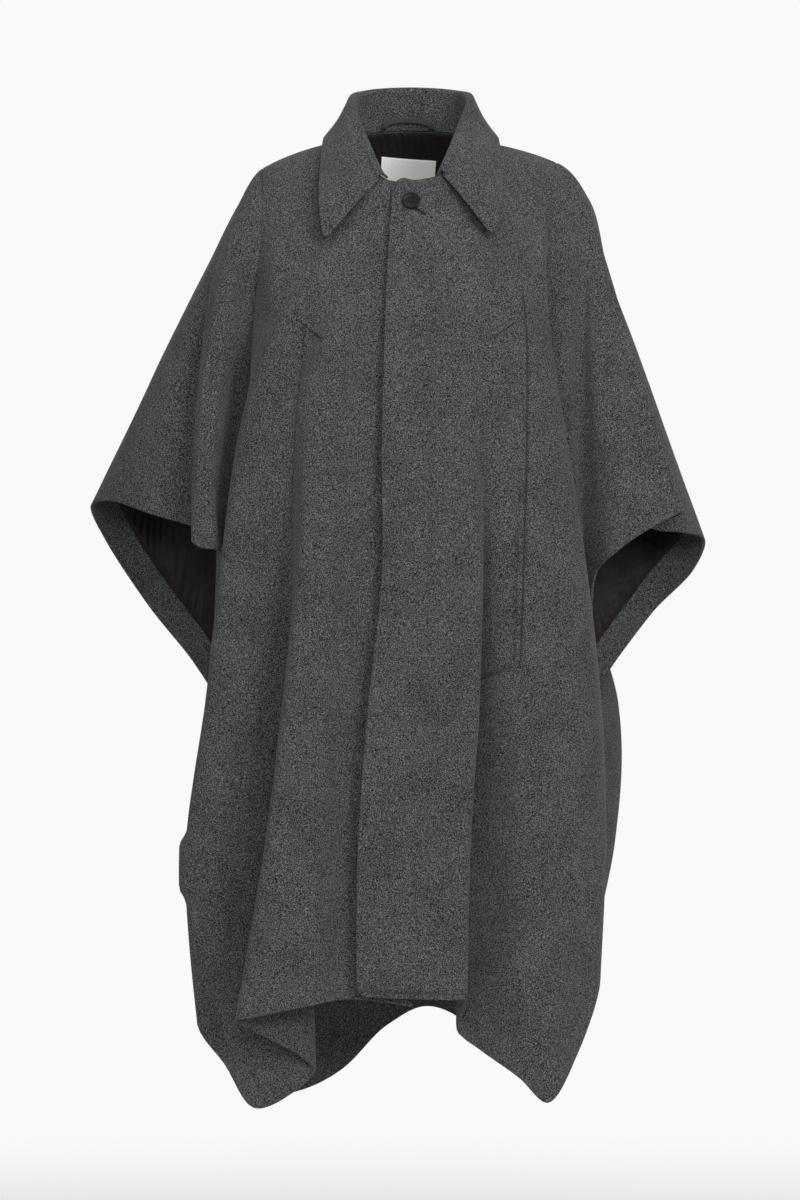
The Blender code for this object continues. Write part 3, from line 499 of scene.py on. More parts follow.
def sleeve_net(folds, tip, front_seam, back_seam):
    rows = len(SLEEVE_PLACES)
    lines = [front_seam[:rows], *(sleeve_line(fold, tip) for fold in folds), back_seam[:rows]]
    gaps = line_gaps(lines)
    spacing = [COL_STEP, *(SLEEVE_COL_STEP if fold.name in SLEEVE_FINE else COL_STEP for fold in folds)]
    places = close_places(gaps, spacing, {0: EDGE_STEPS, len(gaps): EDGE_STEPS})
    net = across(lines, places)
    out = 0.5 * (net[-1, 1] + net[-1, -2]) - net[-1, 0]
    near_hem = smooth(SLEEVE_PLACES - CUFF_ROW)[:, None]
    for column in (0, -1):
        net[:, column] += near_hem * out / np.linalg.norm(out)
    return net[1:]


sleeve_left = sleeve_net(LEFT_SLEEVE_FOLDS, SHOULDER_LEFT[-1], front_left[:, -1], back[:, 0])
sleeve_right = sleeve_net(RIGHT_SLEEVE_FOLDS, SHOULDER_RIGHT[-1], front_right[:, -1], back[:, -1])
nets = {"front_left": front_left, "front_right": front_right[:, ::-1], "back": back,
        "sleeve_left": sleeve_left, "sleeve_right": sleeve_right[:, ::-1]}
for name, net in nets.items():
    print(name, "grid:", net.shape[0], "by", net.shape[1])

# %% [markdown]
# ## Soft unevenness and creases
#
# Real cloth is never as even as a curve. Each crease below is a short line on the panel, seen
# from the front, the back or the side, with a width and a height: a plus is a ridge and a minus
# is a trough. Slow noise adds the small swells of heavy wool. Both fade out at the seams, so
# that neighbouring panels still meet.


# %% Directions and distances on a grid
def unit_normals(net):
    faces = np.cross(net[1:, 1:] - net[:-1, :-1], net[:-1, 1:] - net[1:, :-1])
    total = np.zeros_like(net)
    for rows in (slice(None, -1), slice(1, None)):
        for cols in (slice(None, -1), slice(1, None)):
            total[rows, cols] += faces
    return total / np.maximum(np.linalg.norm(total, axis=2), 1e-9)[:, :, None]


def run_down(net):
    steps = np.linalg.norm(np.diff(net, axis=0), axis=2)
    return np.vstack((np.zeros(net.shape[1]), np.cumsum(steps, axis=0)))


def run_across(net):
    steps = np.linalg.norm(np.diff(net, axis=1), axis=2)
    return np.hstack((np.zeros((net.shape[0], 1)), np.cumsum(steps, axis=1)))


def from_edges(net):
    """Distances to the top, the bottom, the first column and the last column."""
    down = run_down(net)
    over = run_across(net)
    return down, down[-1] - down, over, over[:, -1:] - over


# %% Creases
Crease = namedtuple("Crease", "panel side start end width height")
CREASES = (
    Crease("front_right", "front", (-137, -182), (-142, -345), 6.0, -2.6),
    Crease("front_left", "front", (78, -222), (81, -400), 5.0, -2.6),
    Crease("front_right", "front", (-122, -138), (-180, -256), 12.0, 7.0),
    Crease("front_right", "front", (-98, -165), (-160, -300), 12.0, -6.0),
    Crease("front_right", "front", (-150, -128), (-178, -190), 11.0, -2.6),
    Crease("front_right", "side", (-84, -800), (-78, -868), 32.0, 8.0),
    Crease("front_left", "front", (112, -128), (160, -250), 15.0, 3.0),
    Crease("front_left", "front", (52, -250), (46, -620), 10.0, -3.0),
    Crease("front_left", "front", (-6, -420), (-24, -860), 15.0, 1.5),
    Crease("front_left", "front", (166, -420), (176, -900), 13.0, -2.4),
    Crease("front_right", "front", (-70, -330), (-92, -760), 9.0, -3.2),
    Crease("front_right", "front", (-186, -480), (-214, -860), 10.0, -3.6),
    Crease("front_left", "front", (108, -640), (103, -900), 14.0, -2.0),
    Crease("front_right", "front", (-110, -560), (-150, -930), 16.0, -1.6),
    Crease("sleeve_right", "front", (-255, -336), (-225, -326), 4.0, -1.2),
    Crease("sleeve_right", "front", (-224, -88), (-253, -235), 6.0, -5.2),
    Crease("sleeve_right", "front", (-253, -225), (-268, -440), 5.5, -4.4),
    Crease("sleeve_left", "front", (236, -100), (262, -300), 7.0, -4.6),
    Crease("sleeve_left", "front", (214, -120), (222, -330), 8.0, 4.0),
    Crease("back", "back", (60, -260), (75, -700), 22.0, -2.5),
    Crease("back", "back", (-95, -300), (-80, -760), 24.0, 2.0),
)
SWELLS = ((0.0085, 1.1), (0.024, 0.45))
SWELL_SEEDS = 3.7
CREASE_ENDS = 0.3
TOP_FADE = 40
SIDE_FADE = 25
HEM_FADE = 60


def crease_heights(net, normals, crease):
    start = np.array(crease.start, float)
    along = np.array(crease.end, float) - start
    place = net[:, :, (1, 2) if crease.side == "side" else (0, 2)] - start
    share = place @ along / (along @ along)
    reach = np.linalg.norm(place - np.clip(share, 0, 1)[:, :, None] * along, axis=2)
    ends = smooth(share / CREASE_ENDS + 0.5) * smooth((1 - share) / CREASE_ENDS + 0.5)
    x, y, _ = np.moveaxis(normals, 2, 0)
    facing = {"front": -y, "back": y, "side": abs(x)}[crease.side]
    return crease.height * np.exp(-(reach / crease.width) ** 2) * ends * smooth(facing * 3)


def swell_heights(net, seed):
    heights = np.zeros(net.shape[:2])
    for pitch, height in SWELLS:
        for r in range(net.shape[0]):
            for c in range(net.shape[1]):
                x, y, z = net[r, c] * pitch
                heights[r, c] += height * noise.noise(Vector((x, y, 0.55 * z + seed)))
    return heights


def uneven(name, net, seed):
    normals = unit_normals(net)
    heights = swell_heights(net, seed)
    for crease in CREASES:
        if crease.panel == name:
            heights += crease_heights(net, normals, crease)
    top, bottom, first, last = from_edges(net)
    fade = smooth(top / TOP_FADE) * smooth(first / SIDE_FADE) * smooth(last / SIDE_FADE)
    fade *= 0.5 + 0.5 * smooth(bottom / HEM_FADE)
    return net + normals * (heights * fade)[:, :, None]


for seed, name in enumerate(nets):
    nets[name] = uneven(name, nets[name], SWELL_SEEDS * seed)
print("creases placed by hand:", len(CREASES))

# %% [markdown]
# ## Sewn lines
#
# Where a seam or a row of stitches runs inside a panel, the wool sinks a little under the
# thread. The grid has extra columns beside those lines, so the groove can be as narrow as a
# real one. The colour is darkened along the line as well, partly for the nap pressed flat
# there and partly as painted shade in the groove: each point keeps how much it is darkened as
# an attribute, which the wool's material reads later.

# %% Grooves along sewn lines
# The last field is how much the wool is darkened along the line: pressed nap and painted shade in the groove.
Groove = namedtuple("Groove", "panel line shift start end width depth pressed")
GROOVES = (
    Groove("front_left", "pocket seam", 0.0, -150, -592, 1.5, 1.5, 0.62),
    Groove("front_left", "pocket seam", -8.0, -380, -588, 1.4, 0.9, 0.30),
    Groove("front_left", "fly stitching", 0.0, -90, -975, 1.4, 0.4, 0.10),
    Groove("front_right", "layer valley", 0.0, -180, -420, 1.4, 0.8, 0.35),
)
pressed = {name: np.zeros(net.shape[:2]) for name, net in nets.items()}
LINE_PLACES = {"front_left": (FRONT_LEFT_FOLDS, left_places, 1),
               "front_right": (FRONT_RIGHT_FOLDS, right_places, -1)}


def line_column(panel, line):
    folds, places, order = LINE_PLACES[panel]
    knot = [fold.name for fold in folds].index(line)
    column = int(np.argmin(np.abs(places - knot)))
    return column if order == 1 else len(places) - 1 - column


for groove in GROOVES:
    net = nets[groove.panel]
    over = run_across(net)
    column = line_column(groove.panel, groove.line)
    aside = over - over[:, column:column + 1] - groove.shift
    z = net[:, :, 2]
    sunk = np.exp(-(aside / groove.width) ** 2)
    sunk *= smooth((groove.start - z) / 12) * smooth((z - groove.end) / 6)
    pressed[groove.panel] = np.maximum(pressed[groove.panel], groove.pressed * sunk)
    nets[groove.panel] = net - unit_normals(net) * (groove.depth * sunk)[:, :, None]

POCKET_FOOT = Crease("front_left", "front", (119, -595), (81, -611), 2.4, -1.0)
net = nets["front_left"]
foot = -crease_heights(net, unit_normals(net), POCKET_FOOT)
FOOT_DEPTH = 1.5
PLACKET_STITCH = 7.0
HEM_LINE_WIDTH = 1.3
HEM_LINE_DEPTH = 0.6
_, from_hem, _, _ = from_edges(net)
on_placket = 1.0 - smooth(left_places - 2.2)
hem_line = np.exp(-((from_hem - PLACKET_STITCH) / HEM_LINE_WIDTH) ** 2) * on_placket
# The pocket foot and the placket's hem line are darkened too: pressed nap and painted shade.
pressed["front_left"] = np.maximum.reduce((pressed["front_left"], 0.6 * foot, 0.3 * hem_line))
sunk = FOOT_DEPTH * foot + HEM_LINE_DEPTH * hem_line
nets["front_left"] = net - unit_normals(net) * sunk[:, :, None]
print("grooves:", len(GROOVES) + 2)

# %% The placket's top stands up a little beside the button
PLACKET_PEAK = 4.5
PEAK_ASIDE = 10
PEAK_WIDTH = 9
PEAK_DEPTH = 24
net = nets["front_left"]
lift = PLACKET_PEAK * np.exp(-((net[:, :, 0] + PEAK_ASIDE) / PEAK_WIDTH) ** 2)
lift = lift * (1.0 - smooth(run_down(net) / PEAK_DEPTH))
nets["front_left"] = net + lift[:, :, None] * np.array((0.0, 0.0, 1.0))
print("placket peak:", PLACKET_PEAK, "mm")

# %% [markdown]
# ## Rounded corners
#
# The placket's corners and the collar's tips are cut round. A square corner of the grid is
# pressed into a quarter circle: points near it slide along the sheet, so the cloth keeps its
# form and only its outline changes.


# %% A corner pressed round
def read_net(net, rows, cols):
    r0 = np.clip(rows.astype(int), 0, net.shape[0] - 2)
    c0 = np.clip(cols.astype(int), 0, net.shape[1] - 2)
    fr = (rows - r0)[:, :, None]
    fc = (cols - c0)[:, :, None]
    upper = net[r0, c0] * (1 - fc) + net[r0, c0 + 1] * fc
    lower = net[r0 + 1, c0] * (1 - fc) + net[r0 + 1, c0 + 1] * fc
    return upper * (1 - fr) + lower * fr


def rounded(net, radius, bottom=True, last=False):
    turned = net[::-1] if bottom else net
    turned = turned[:, ::-1] if last else turned
    down = np.concatenate(((0,), np.cumsum(np.linalg.norm(np.diff(turned[:, 0], axis=0), axis=1))))
    over = np.concatenate(((0,), np.cumsum(np.linalg.norm(np.diff(turned[0], axis=0), axis=1))))
    a, b = np.meshgrid(over / radius, down / radius)
    x = np.clip(1 - a, 0, 1)
    y = np.clip(1 - b, 0, 1)
    a = np.where((x > 0) & (y > 0), 1 - x * np.sqrt(1 - y * y / 2), a) * radius
    b = np.where((x > 0) & (y > 0), 1 - y * np.sqrt(1 - x * x / 2), b) * radius
    cols = np.interp(a, over, np.arange(len(over)))
    rows = np.interp(b, down, np.arange(len(down)))
    turned = read_net(turned, rows, cols)
    turned = turned[:, ::-1] if last else turned
    return turned[::-1] if bottom else turned


PLACKET_HEM_RADIUS = 14.0
PLACKET_TOP_RADIUS = 9.0
nets["front_left"] = rounded(nets["front_left"], PLACKET_HEM_RADIUS)
nets["front_left"] = rounded(nets["front_left"], PLACKET_TOP_RADIUS, bottom=False)
print("the placket's corners are round")

# %% [markdown]
# ## Thickness
#
# A sheet becomes cloth by a second layer a wall's thickness behind it, and a rounded rim between
# the two. Where a fold is sharp, a step straight back would make the inner layer cross itself,
# so the steps are averaged with their neighbours, and made a little longer, as in a mitred frame.
# Along a seam both panels use the same steps, and so their inner layers meet as well.


# %% Steps for the inner layers
MITRE_EASE = 0.05
LONGEST_MITRE = 1.8
STEP_SMOOTHINGS = 5
LONGEST_STEP = 1.5
SEAM_REACH = 4.0
STEP_FADE = 9.0


def mitre(faces):
    lean = faces.T @ faces + MITRE_EASE * np.eye(3)
    step = np.linalg.solve(lean, faces.sum(axis=0))
    return step * min(1.0, LONGEST_MITRE / max(float(np.linalg.norm(step)), 1e-6))


def inner_steps(net):
    normals = unit_normals(net)
    for _ in range(STEP_SMOOTHINGS):
        for axis in (0, 1):
            ahead = np.roll(normals, -1, axis)
            behind = np.roll(normals, 1, axis)
            ends = [slice(None)] * 3
            ends[axis] = slice(1, -1)
            normals[tuple(ends)] = (0.25 * ahead + 0.5 * normals + 0.25 * behind)[tuple(ends)]
    length = np.linalg.norm(normals, axis=2)[:, :, None]
    return normals / length * np.minimum(1.0 / length, LONGEST_STEP)


def border_of(net):
    rows, cols = net.shape[:2]
    border = [(0, c) for c in range(cols)] + [(r, cols - 1) for r in range(1, rows)]
    border += [(rows - 1, c) for c in range(cols - 2, -1, -1)]
    return border + [(r, 0) for r in range(rows - 2, 0, -1)]


def border_faces(net, place):
    r, c = place
    faces = []
    for r0 in (r - 1, r):
        for c0 in (c - 1, c):
            if 0 <= r0 < net.shape[0] - 1 and 0 <= c0 < net.shape[1] - 1:
                normal = np.cross(net[r0 + 1, c0 + 1] - net[r0, c0], net[r0, c0 + 1] - net[r0 + 1, c0])
                faces.append(normal / max(np.linalg.norm(normal), 1e-9))
    return np.array(faces)


def shared_steps(group):
    """Steps for all panels, with the same ones on both sides of each seam."""
    rims = [(name, place) for name, net in group.items() for place in border_of(net)]
    tree = KDTree(len(rims))
    for index, (name, place) in enumerate(rims):
        tree.insert(Vector(group[name][place]), index)
    tree.balance()
    steps = {name: inner_steps(net) for name, net in group.items()}
    changes = {name: {} for name in group}
    for name, place in rims:
        faces = [border_faces(group[name], place)]
        seen = {name}
        for _, index, _ in tree.find_range(Vector(group[name][place]), SEAM_REACH):
            other, there = rims[index]
            if other not in seen:
                seen.add(other)
                faces.append(border_faces(group[other], there))
        changes[name][place] = mitre(np.vstack(faces)) - steps[name][place]
    for name, net in group.items():
        edges = from_edges(net)
        rows, cols = net.shape[:2]
        total = np.zeros_like(net)
        for edge, distance in zip(("top", "bottom", "first", "last"), edges):
            fade = (1.0 - smooth(distance / STEP_FADE))[:, :, None]
            if edge in ("top", "bottom"):
                row = 0 if edge == "top" else rows - 1
                change = np.array([changes[name][(row, c)] for c in range(cols)])[None, :]
            else:
                col = 0 if edge == "first" else cols - 1
                change = np.array([changes[name][(r, col)] for r in range(rows)])[:, None]
            total = np.where(np.abs(total) > np.abs(fade * change), total, fade * change)
        steps[name] += total
    return steps


steps = shared_steps(nets)
print("longest inner step:", round(max(float(np.linalg.norm(s, axis=2).max()) for s in steps.values()), 2))

# %% Walls with rounded rims
SOFT_RIM = ((1.0, 0.0), (0.32, 0.14), (0.0, 0.42), (0.0, 0.78), (0.25, 1.0))
THIN_RIM = ((0.3, 0.0), (0.0, 0.3), (0.0, 0.7), (0.3, 1.0))
FULL_RIM_WIDTH = 14.0
SEAM_RIM_SHARE = 0.5


def inward(net, place):
    r, c = place
    rows, cols = net.shape[:2]
    total = np.zeros(3)
    for there, beside in (((r == 0), (r + 1, c)), ((r == rows - 1), (r - 1, c)),
                          ((c == 0), (r, c + 1)), ((c == cols - 1), (r, c - 1))):
        if there:
            along = net[beside] - net[place]
            total += along / max(np.linalg.norm(along), 1e-6)
    return total


def rim_share(net, place, free):
    """How much of the rim's inset fits at a point, and less of it on a seam than on a free edge."""
    r, c = place
    rows, cols = net.shape[:2]
    across_all = np.linalg.norm(net[r, -1] - net[r, 0])
    room = min(1.0, across_all / FULL_RIM_WIDTH)
    at_edge = {"hem": r == rows - 1, "first": c == 0, "last": c == cols - 1}
    loose = any(at_edge[edge] for edge in free)
    return room if loose else SEAM_RIM_SHARE * room


def sheet_object(name, net, step, nearest, wall, rim=SOFT_RIM, gap=SEAM_GAP / 2, swell=None,
                 free=("hem", "first", "last"), nap=None):
    """A closed sheet of cloth between two depths behind a grid, with UVs in metres."""
    rows, cols = net.shape[:2]
    border = border_of(net)
    inwards = {place: inward(net, place) for place in border}
    share_at = {place: rim_share(net, place, free) for place in border}
    depth = nearest if swell is None else nearest + swell[:, :, None]
    near = net - step * depth
    far = net - step * (depth + wall)
    for layer, (inset, _) in ((near, rim[0]), (far, rim[-1])):
        for place in border:
            layer[place] += inwards[place] * (gap + inset * share_at[place])
    over = run_across(net) - run_across(net)[:, cols // 2][:, None]
    down = run_down(net)
    flat = np.dstack((over, -down)).reshape(-1, 2)
    points = [near.reshape(-1, 3), far.reshape(-1, 3)]
    plan = [flat, flat]
    number = np.arange(rows * cols).reshape(rows, cols)
    rings = [[int(number[place]) for place in border]]
    made = 2 * rows * cols
    for inset, share in rim[1:-1]:
        ring = []
        for place in border:
            at = depth if swell is None else depth[place]
            pulled = inwards[place] * (gap + inset * share_at[place])
            ring.append(net[place] - step[place] * (at + share * wall) + pulled)
        points.append(np.array(ring))
        plan.append(np.array([flat[number[place]] for place in border]))
        rings.append(list(range(made, made + len(border))))
        made += len(border)
    rings.append([int(number[place]) + rows * cols for place in border])
    a, b = number[:-1, :-1], number[1:, :-1]
    c, d = number[1:, 1:], number[:-1, 1:]
    front = np.stack((a, b, c, d), axis=2).reshape(-1, 4)
    faces = [*front.tolist(), *(front[:, ::-1] + rows * cols).tolist()]
    for upper, lower in zip(rings, rings[1:]):
        for k in range(len(border)):
            after = (k + 1) % len(border)
            faces.append((upper[k], upper[after], lower[after], lower[k]))
    mesh = bpy.data.meshes.new(name)
    mesh.from_pydata((np.vstack(points) * MM).tolist(), [], faces)
    plan = np.vstack(plan) * MM
    layer = mesh.uv_layers.new(name="UVMap")
    corners = np.empty(len(mesh.loops), int)
    mesh.loops.foreach_get("vertex_index", corners)
    layer.data.foreach_set("uv", plan[corners].ravel())
    mesh.polygons.foreach_set("use_smooth", np.ones(len(mesh.polygons), bool))
    # The darkening along seams, partly pressed nap and partly painted shade, is kept as a point attribute.
    if nap is not None:
        values = np.zeros(len(mesh.vertices))
        values[:rows * cols] = nap.ravel()
        mesh.attributes.new("pressed", "FLOAT", "POINT").data.foreach_set("value", values)
    mesh.update()
    piece = bpy.data.objects.new(name, mesh)
    bpy.context.scene.collection.objects.link(piece)
    return piece


def cut_size(net):
    """Widest row, longest column and area of a grid, in metres: what the tailor cut."""
    width = float(run_across(net)[:, -1].max()) * MM
    length = float(run_down(net)[-1].max()) * MM
    sides = np.cross(net[1:, 1:] - net[:-1, :-1], net[:-1, 1:] - net[1:, :-1])
    area = float(np.linalg.norm(sides, axis=2).sum()) / 2 * MM * MM
    return width, length, area


def cloth_piece(piece, net, node_name, turned_in=0.0):
    """Attaches a sheet, hides the part it stands for and says how large it was cut."""
    width, length, area = cut_size(net)
    if turned_in:
        length += 2 * turned_in * MM
        area = width * length
    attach(piece, "root")
    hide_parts(node_name)
    print(f"{piece.name}: cut {width * 1000:.0f} x {length * 1000:.0f} mm, {area:.4f} m2,"
          f" {len(piece.data.polygons)} faces")


def sewn_sheet(name, node_name, slot, rests_on, material, net, step, nearest, wall, *rest,
               turned_in=0.0, **more):
    """A sheet of cloth with its finish, put in place of the part it stands for."""
    piece = sheet_object(name, net, step, nearest, wall, *rest, **more)
    piece.data.materials.append(material)
    cloth_piece(piece, net, node_name, turned_in)
    return piece


# %% [markdown]
# ## Finishes
#
# The wool is a melange: dark and light fibres are mixed before spinning, so it shows fine salt
# and pepper that no single colour can give, and a short brushed nap that catches light at
# grazing angles. Noise at three sizes mixes the fibres, a bump lifts the nap, and the shader's
# own sheen gives the soft bright edge. The lining is a smooth satin, the button dark horn.


# %% Helpers for node trees
def add(tree, kind, inputs=None, **settings):
    made = tree.nodes.new(kind)
    for key, value in settings.items():
        setattr(made, key, value)
    for key, value in (inputs or {}).items():
        made.inputs[key].default_value = value
    return made


def new_group(name, inputs, outputs):
    group = bpy.data.node_groups.new(name, "ShaderNodeTree")
    for title, kind, value in inputs:
        group.interface.new_socket(title, in_out="INPUT", socket_type=kind).default_value = value
    for title, kind in outputs:
        group.interface.new_socket(title, in_out="OUTPUT", socket_type=kind)
    return group, group.nodes.new("NodeGroupInput"), group.nodes.new("NodeGroupOutput")


def new_material(name, colour, **values):
    material = bpy.data.materials.new(name)
    material.use_nodes = True
    tree = material.node_tree
    shader = tree.nodes["Principled BSDF"]
    shader.inputs["Base Color"].default_value = (*colour, 1.0)
    for key, value in values.items():
        shader.inputs[key.replace("_", " ").title().replace("Ior", "IOR")].default_value = value
    return material, tree, shader


def use_group(tree, group, **inputs):
    made = add(tree, "ShaderNodeGroup")
    made.node_tree = group
    for key, value in inputs.items():
        made.inputs[key.replace("_", " ").capitalize()].default_value = value
    return made


def raise_bump(tree, shader, height, strength, distance):
    bump = add(tree, "ShaderNodeBump", {"Strength": strength, "Distance": distance})
    tree.links.new(height, bump.inputs["Height"])
    tree.links.new(bump.outputs["Normal"], shader.inputs["Normal"])


# %% The melange group
def melange_group():
    group, given, result = new_group(
        "melange", [("Place", "NodeSocketVector", (0, 0, 0)), ("Flecks", "NodeSocketFloat", 900.0)],
        [("Colour", "NodeSocketColor"), ("Height", "NodeSocketFloat")])
    link = group.links.new
    coarse = add(group, "ShaderNodeTexNoise", {"Detail": 2.0, "Roughness": 0.65})
    link(given.outputs["Place"], coarse.inputs["Vector"])
    link(given.outputs["Flecks"], coarse.inputs["Scale"])
    finer = add(group, "ShaderNodeMath", {1: 2.6}, operation="MULTIPLY")
    link(given.outputs["Flecks"], finer.inputs[0])
    stretch = add(group, "ShaderNodeMapping", {"Scale": (1.0, 1.0, 0.45), "Rotation": (0.0, 0.35, 0.2)})
    link(given.outputs["Place"], stretch.inputs["Vector"])
    fine = add(group, "ShaderNodeTexNoise", {"Detail": 2.0, "Roughness": 0.7})
    link(stretch.outputs["Vector"], fine.inputs["Vector"])
    link(finer.outputs["Value"], fine.inputs["Scale"])
    both = add(group, "ShaderNodeMix", {"Factor": 0.45})
    link(coarse.outputs["Fac"], both.inputs["A"])
    link(fine.outputs["Fac"], both.inputs["B"])
    spread = add(group, "ShaderNodeMapRange", {"From Min": 0.43, "From Max": 0.57})
    link(both.outputs["Result"], spread.inputs["Value"])
    slow = add(group, "ShaderNodeTexNoise", {"Scale": 22.0, "Detail": 2.0, "Roughness": 0.5})
    link(given.outputs["Place"], slow.inputs["Vector"])
    shift = add(group, "ShaderNodeMapRange", {"From Min": 0.3, "From Max": 0.7,
                                              "To Min": -0.05, "To Max": 0.05})
    link(slow.outputs["Fac"], shift.inputs["Value"])
    mixed = add(group, "ShaderNodeMath", operation="ADD", use_clamp=True)
    link(spread.outputs["Result"], mixed.inputs[0])
    link(shift.outputs["Result"], mixed.inputs[1])
    ramp = add(group, "ShaderNodeValToRGB")
    stops = ramp.color_ramp.elements
    stops[0].color = (0.0036, 0.0039, 0.0046, 1.0)
    stops[1].color = (0.1680, 0.1735, 0.1820, 1.0)
    middle = stops.new(0.5)
    middle.color = (0.0262, 0.0277, 0.0302, 1.0)
    link(mixed.outputs["Value"], ramp.inputs["Fac"])
    link(ramp.outputs["Color"], result.inputs["Colour"])
    link(both.outputs["Result"], result.inputs["Height"])
    return group


melange = melange_group()


# %% The wool
# Painted shade: seam grooves and dart edges are darkened towards this colour, with some pressed nap.
PRESSED_NAP_SHADE_COLOUR = (0.0070, 0.0073, 0.0080)


def wool_material(name, roughness=0.92):
    material, tree, shader = new_material(
        name, (0.045, 0.050, 0.053), roughness=roughness, sheen_weight=0.12, sheen_roughness=0.5,
        specular_ior_level=0.12)
    place = add(tree, "ShaderNodeTexCoord")
    fibres = use_group(tree, melange)
    tree.links.new(place.outputs["Object"], fibres.inputs["Place"])
    # The attribute mixes in the painted shade along seams and dart edges.
    flat_nap = add(tree, "ShaderNodeAttribute", attribute_name="pressed")
    shade = add(tree, "ShaderNodeMix", data_type="RGBA")
    shade.inputs["B"].default_value = (*PRESSED_NAP_SHADE_COLOUR, 1.0)
    tree.links.new(flat_nap.outputs["Fac"], shade.inputs["Factor"])
    tree.links.new(fibres.outputs["Colour"], shade.inputs["A"])
    tree.links.new(shade.outputs["Result"], shader.inputs["Base Color"])
    raise_bump(tree, shader, fibres.outputs["Height"], 0.6, 0.0011)
    return material


brushed_wool = wool_material("brushed_wool")
print("finish:", brushed_wool.name)


# %% The satin lining, label, loop and thread
def weave_group():
    group, given, result = new_group(
        "fine_weave", [("Place", "NodeSocketVector", (0, 0, 0)), ("Threads", "NodeSocketFloat", 900.0)],
        [("Height", "NodeSocketFloat"), ("Mask", "NodeSocketFloat")])
    link = group.links.new
    waves = []
    for direction in ("X", "Z"):
        wave = add(group, "ShaderNodeTexWave", {"Distortion": 0.6, "Detail": 1.0}, wave_type="BANDS",
                   bands_direction=direction)
        link(given.outputs["Place"], wave.inputs["Vector"])
        link(given.outputs["Threads"], wave.inputs["Scale"])
        waves.append(wave)
    top = add(group, "ShaderNodeMath", operation="MAXIMUM")
    link(waves[0].outputs["Fac"], top.inputs[0])
    link(waves[1].outputs["Fac"], top.inputs[1])
    slubs = add(group, "ShaderNodeTexNoise", {"Scale": 260.0, "Detail": 2.0})
    link(given.outputs["Place"], slubs.inputs["Vector"])
    link(top.outputs["Value"], result.inputs["Height"])
    link(slubs.outputs["Fac"], result.inputs["Mask"])
    return group


weave = weave_group()


def woven_material(name, dark, light, threads, depth, **values):
    material, tree, shader = new_material(name, light, **values)
    place = add(tree, "ShaderNodeTexCoord")
    threads_group = use_group(tree, weave, threads=threads)
    tree.links.new(place.outputs["Object"], threads_group.inputs["Place"])
    tint = add(tree, "ShaderNodeMix", data_type="RGBA")
    tint.inputs["A"].default_value = (*dark, 1.0)
    tint.inputs["B"].default_value = (*light, 1.0)
    tree.links.new(threads_group.outputs["Mask"], tint.inputs["Factor"])
    tree.links.new(tint.outputs["Result"], shader.inputs["Base Color"])
    raise_bump(tree, shader, threads_group.outputs["Height"], 0.4, depth)
    return material


black_satin = woven_material("black_satin", (0.0110, 0.0093, 0.0100), (0.0235, 0.0200, 0.0212), 1400.0,
                             0.00006, roughness=0.38, specular_ior_level=0.06)
loop_tape = woven_material("loop_tape", (0.010, 0.010, 0.011), (0.022, 0.021, 0.022), 700.0, 0.0002,
                           roughness=0.55, specular_ior_level=0.4)
label_weave = woven_material("label_weave", (0.90, 0.90, 0.88), (0.96, 0.96, 0.94), 800.0, 0.00012,
                             roughness=0.62, specular_ior_level=0.3)
dark_thread = woven_material("dark_thread", (0.016, 0.018, 0.020), (0.035, 0.038, 0.041), 1500.0, 0.0001,
                             roughness=0.6, specular_ior_level=0.3)
slit_shade = woven_material("slit_shade", (0.0025, 0.0025, 0.0027), (0.0045, 0.0045, 0.0048), 1500.0, 0.0001,
                            roughness=0.9, specular_ior_level=0.05)
label_thread = woven_material("label_thread", (0.62, 0.62, 0.60), (0.75, 0.75, 0.72), 1500.0, 0.0001,
                              roughness=0.6)
print("woven finishes:", black_satin.name, loop_tape.name, label_weave.name, dark_thread.name)

# %% [markdown]
# ## The wool shell
#
# Five panels make the outside: two fronts, the back and two wide sleeves. The wearer's left
# front laps over the right one and hides its buttons.

# %% Fronts, back and sleeves
coat = {}
WOOL_ORDER = ("front_left", "front_right", "back", "sleeve_left", "sleeve_right")
FREE_EDGES = {"front_left": ("hem", "first"), "front_right": ("hem", "last")}
# Each panel carries its painted seam shade, with pressed nap, as an attribute.
for name in WOOL_ORDER:
    coat[name] = sewn_sheet("wool_" + name, name, "wool", "collar", brushed_wool, nets[name],
                            steps[name], 0.0, WOOL_WALL, free=FREE_EDGES.get(name, ("hem",)),
                            nap=pressed[name])

# %% [markdown]
# ## The collar
#
# One folded sheet: the stand rises from the neck seam, rolls over, and falls as the leaf with its
# two points. It is thicker than the rest, because it is two layers of wool with canvas between.

# %% Collar
STAND_SHARES = (0.0, 0.06, 0.14, 0.3, 0.45, 0.6, 0.75, 0.88)
ROLL_STEPS = 8
LEAF_SHARES = (0.04, 0.09, 0.16, 0.24, 0.32, 0.40, 0.48, 0.56, 0.64, 0.72, 0.79, 0.85, 0.90, 0.945,
               0.975, 1.0)
LEAF_BOW = 3.0
SIDE_HOLLOW = 1.9
TIP_RADIUS = 12.5
TIP_REACH = (2.0, 6.5)
EDGE_LIFT = 4.5
SIDE_COLUMNS = (6, 14)
LAST_COLUMN = 20
TIP_STEPS = (2.0, 3.6)
collar_columns = close_places([10.0] * LAST_COLUMN, [3.4] * LAST_COLUMN,
                              {0: TIP_STEPS, LAST_COLUMN: TIP_STEPS})
seam_line, roll_line, leaf_line = neck_at(collar_columns)
for tip, reach in zip((0, -1), TIP_REACH):
    away = leaf_line[tip] - roll_line[tip]
    near = np.exp(-(abs(collar_columns - collar_columns[tip]) / 1.6) ** 2)
    leaf_line += near[:, None] * away / np.linalg.norm(away) * reach
    leaf_line[:, 1] -= EDGE_LIFT * np.exp(-(abs(collar_columns - collar_columns[tip]) / 3.5) ** 2)
up = roll_line - seam_line
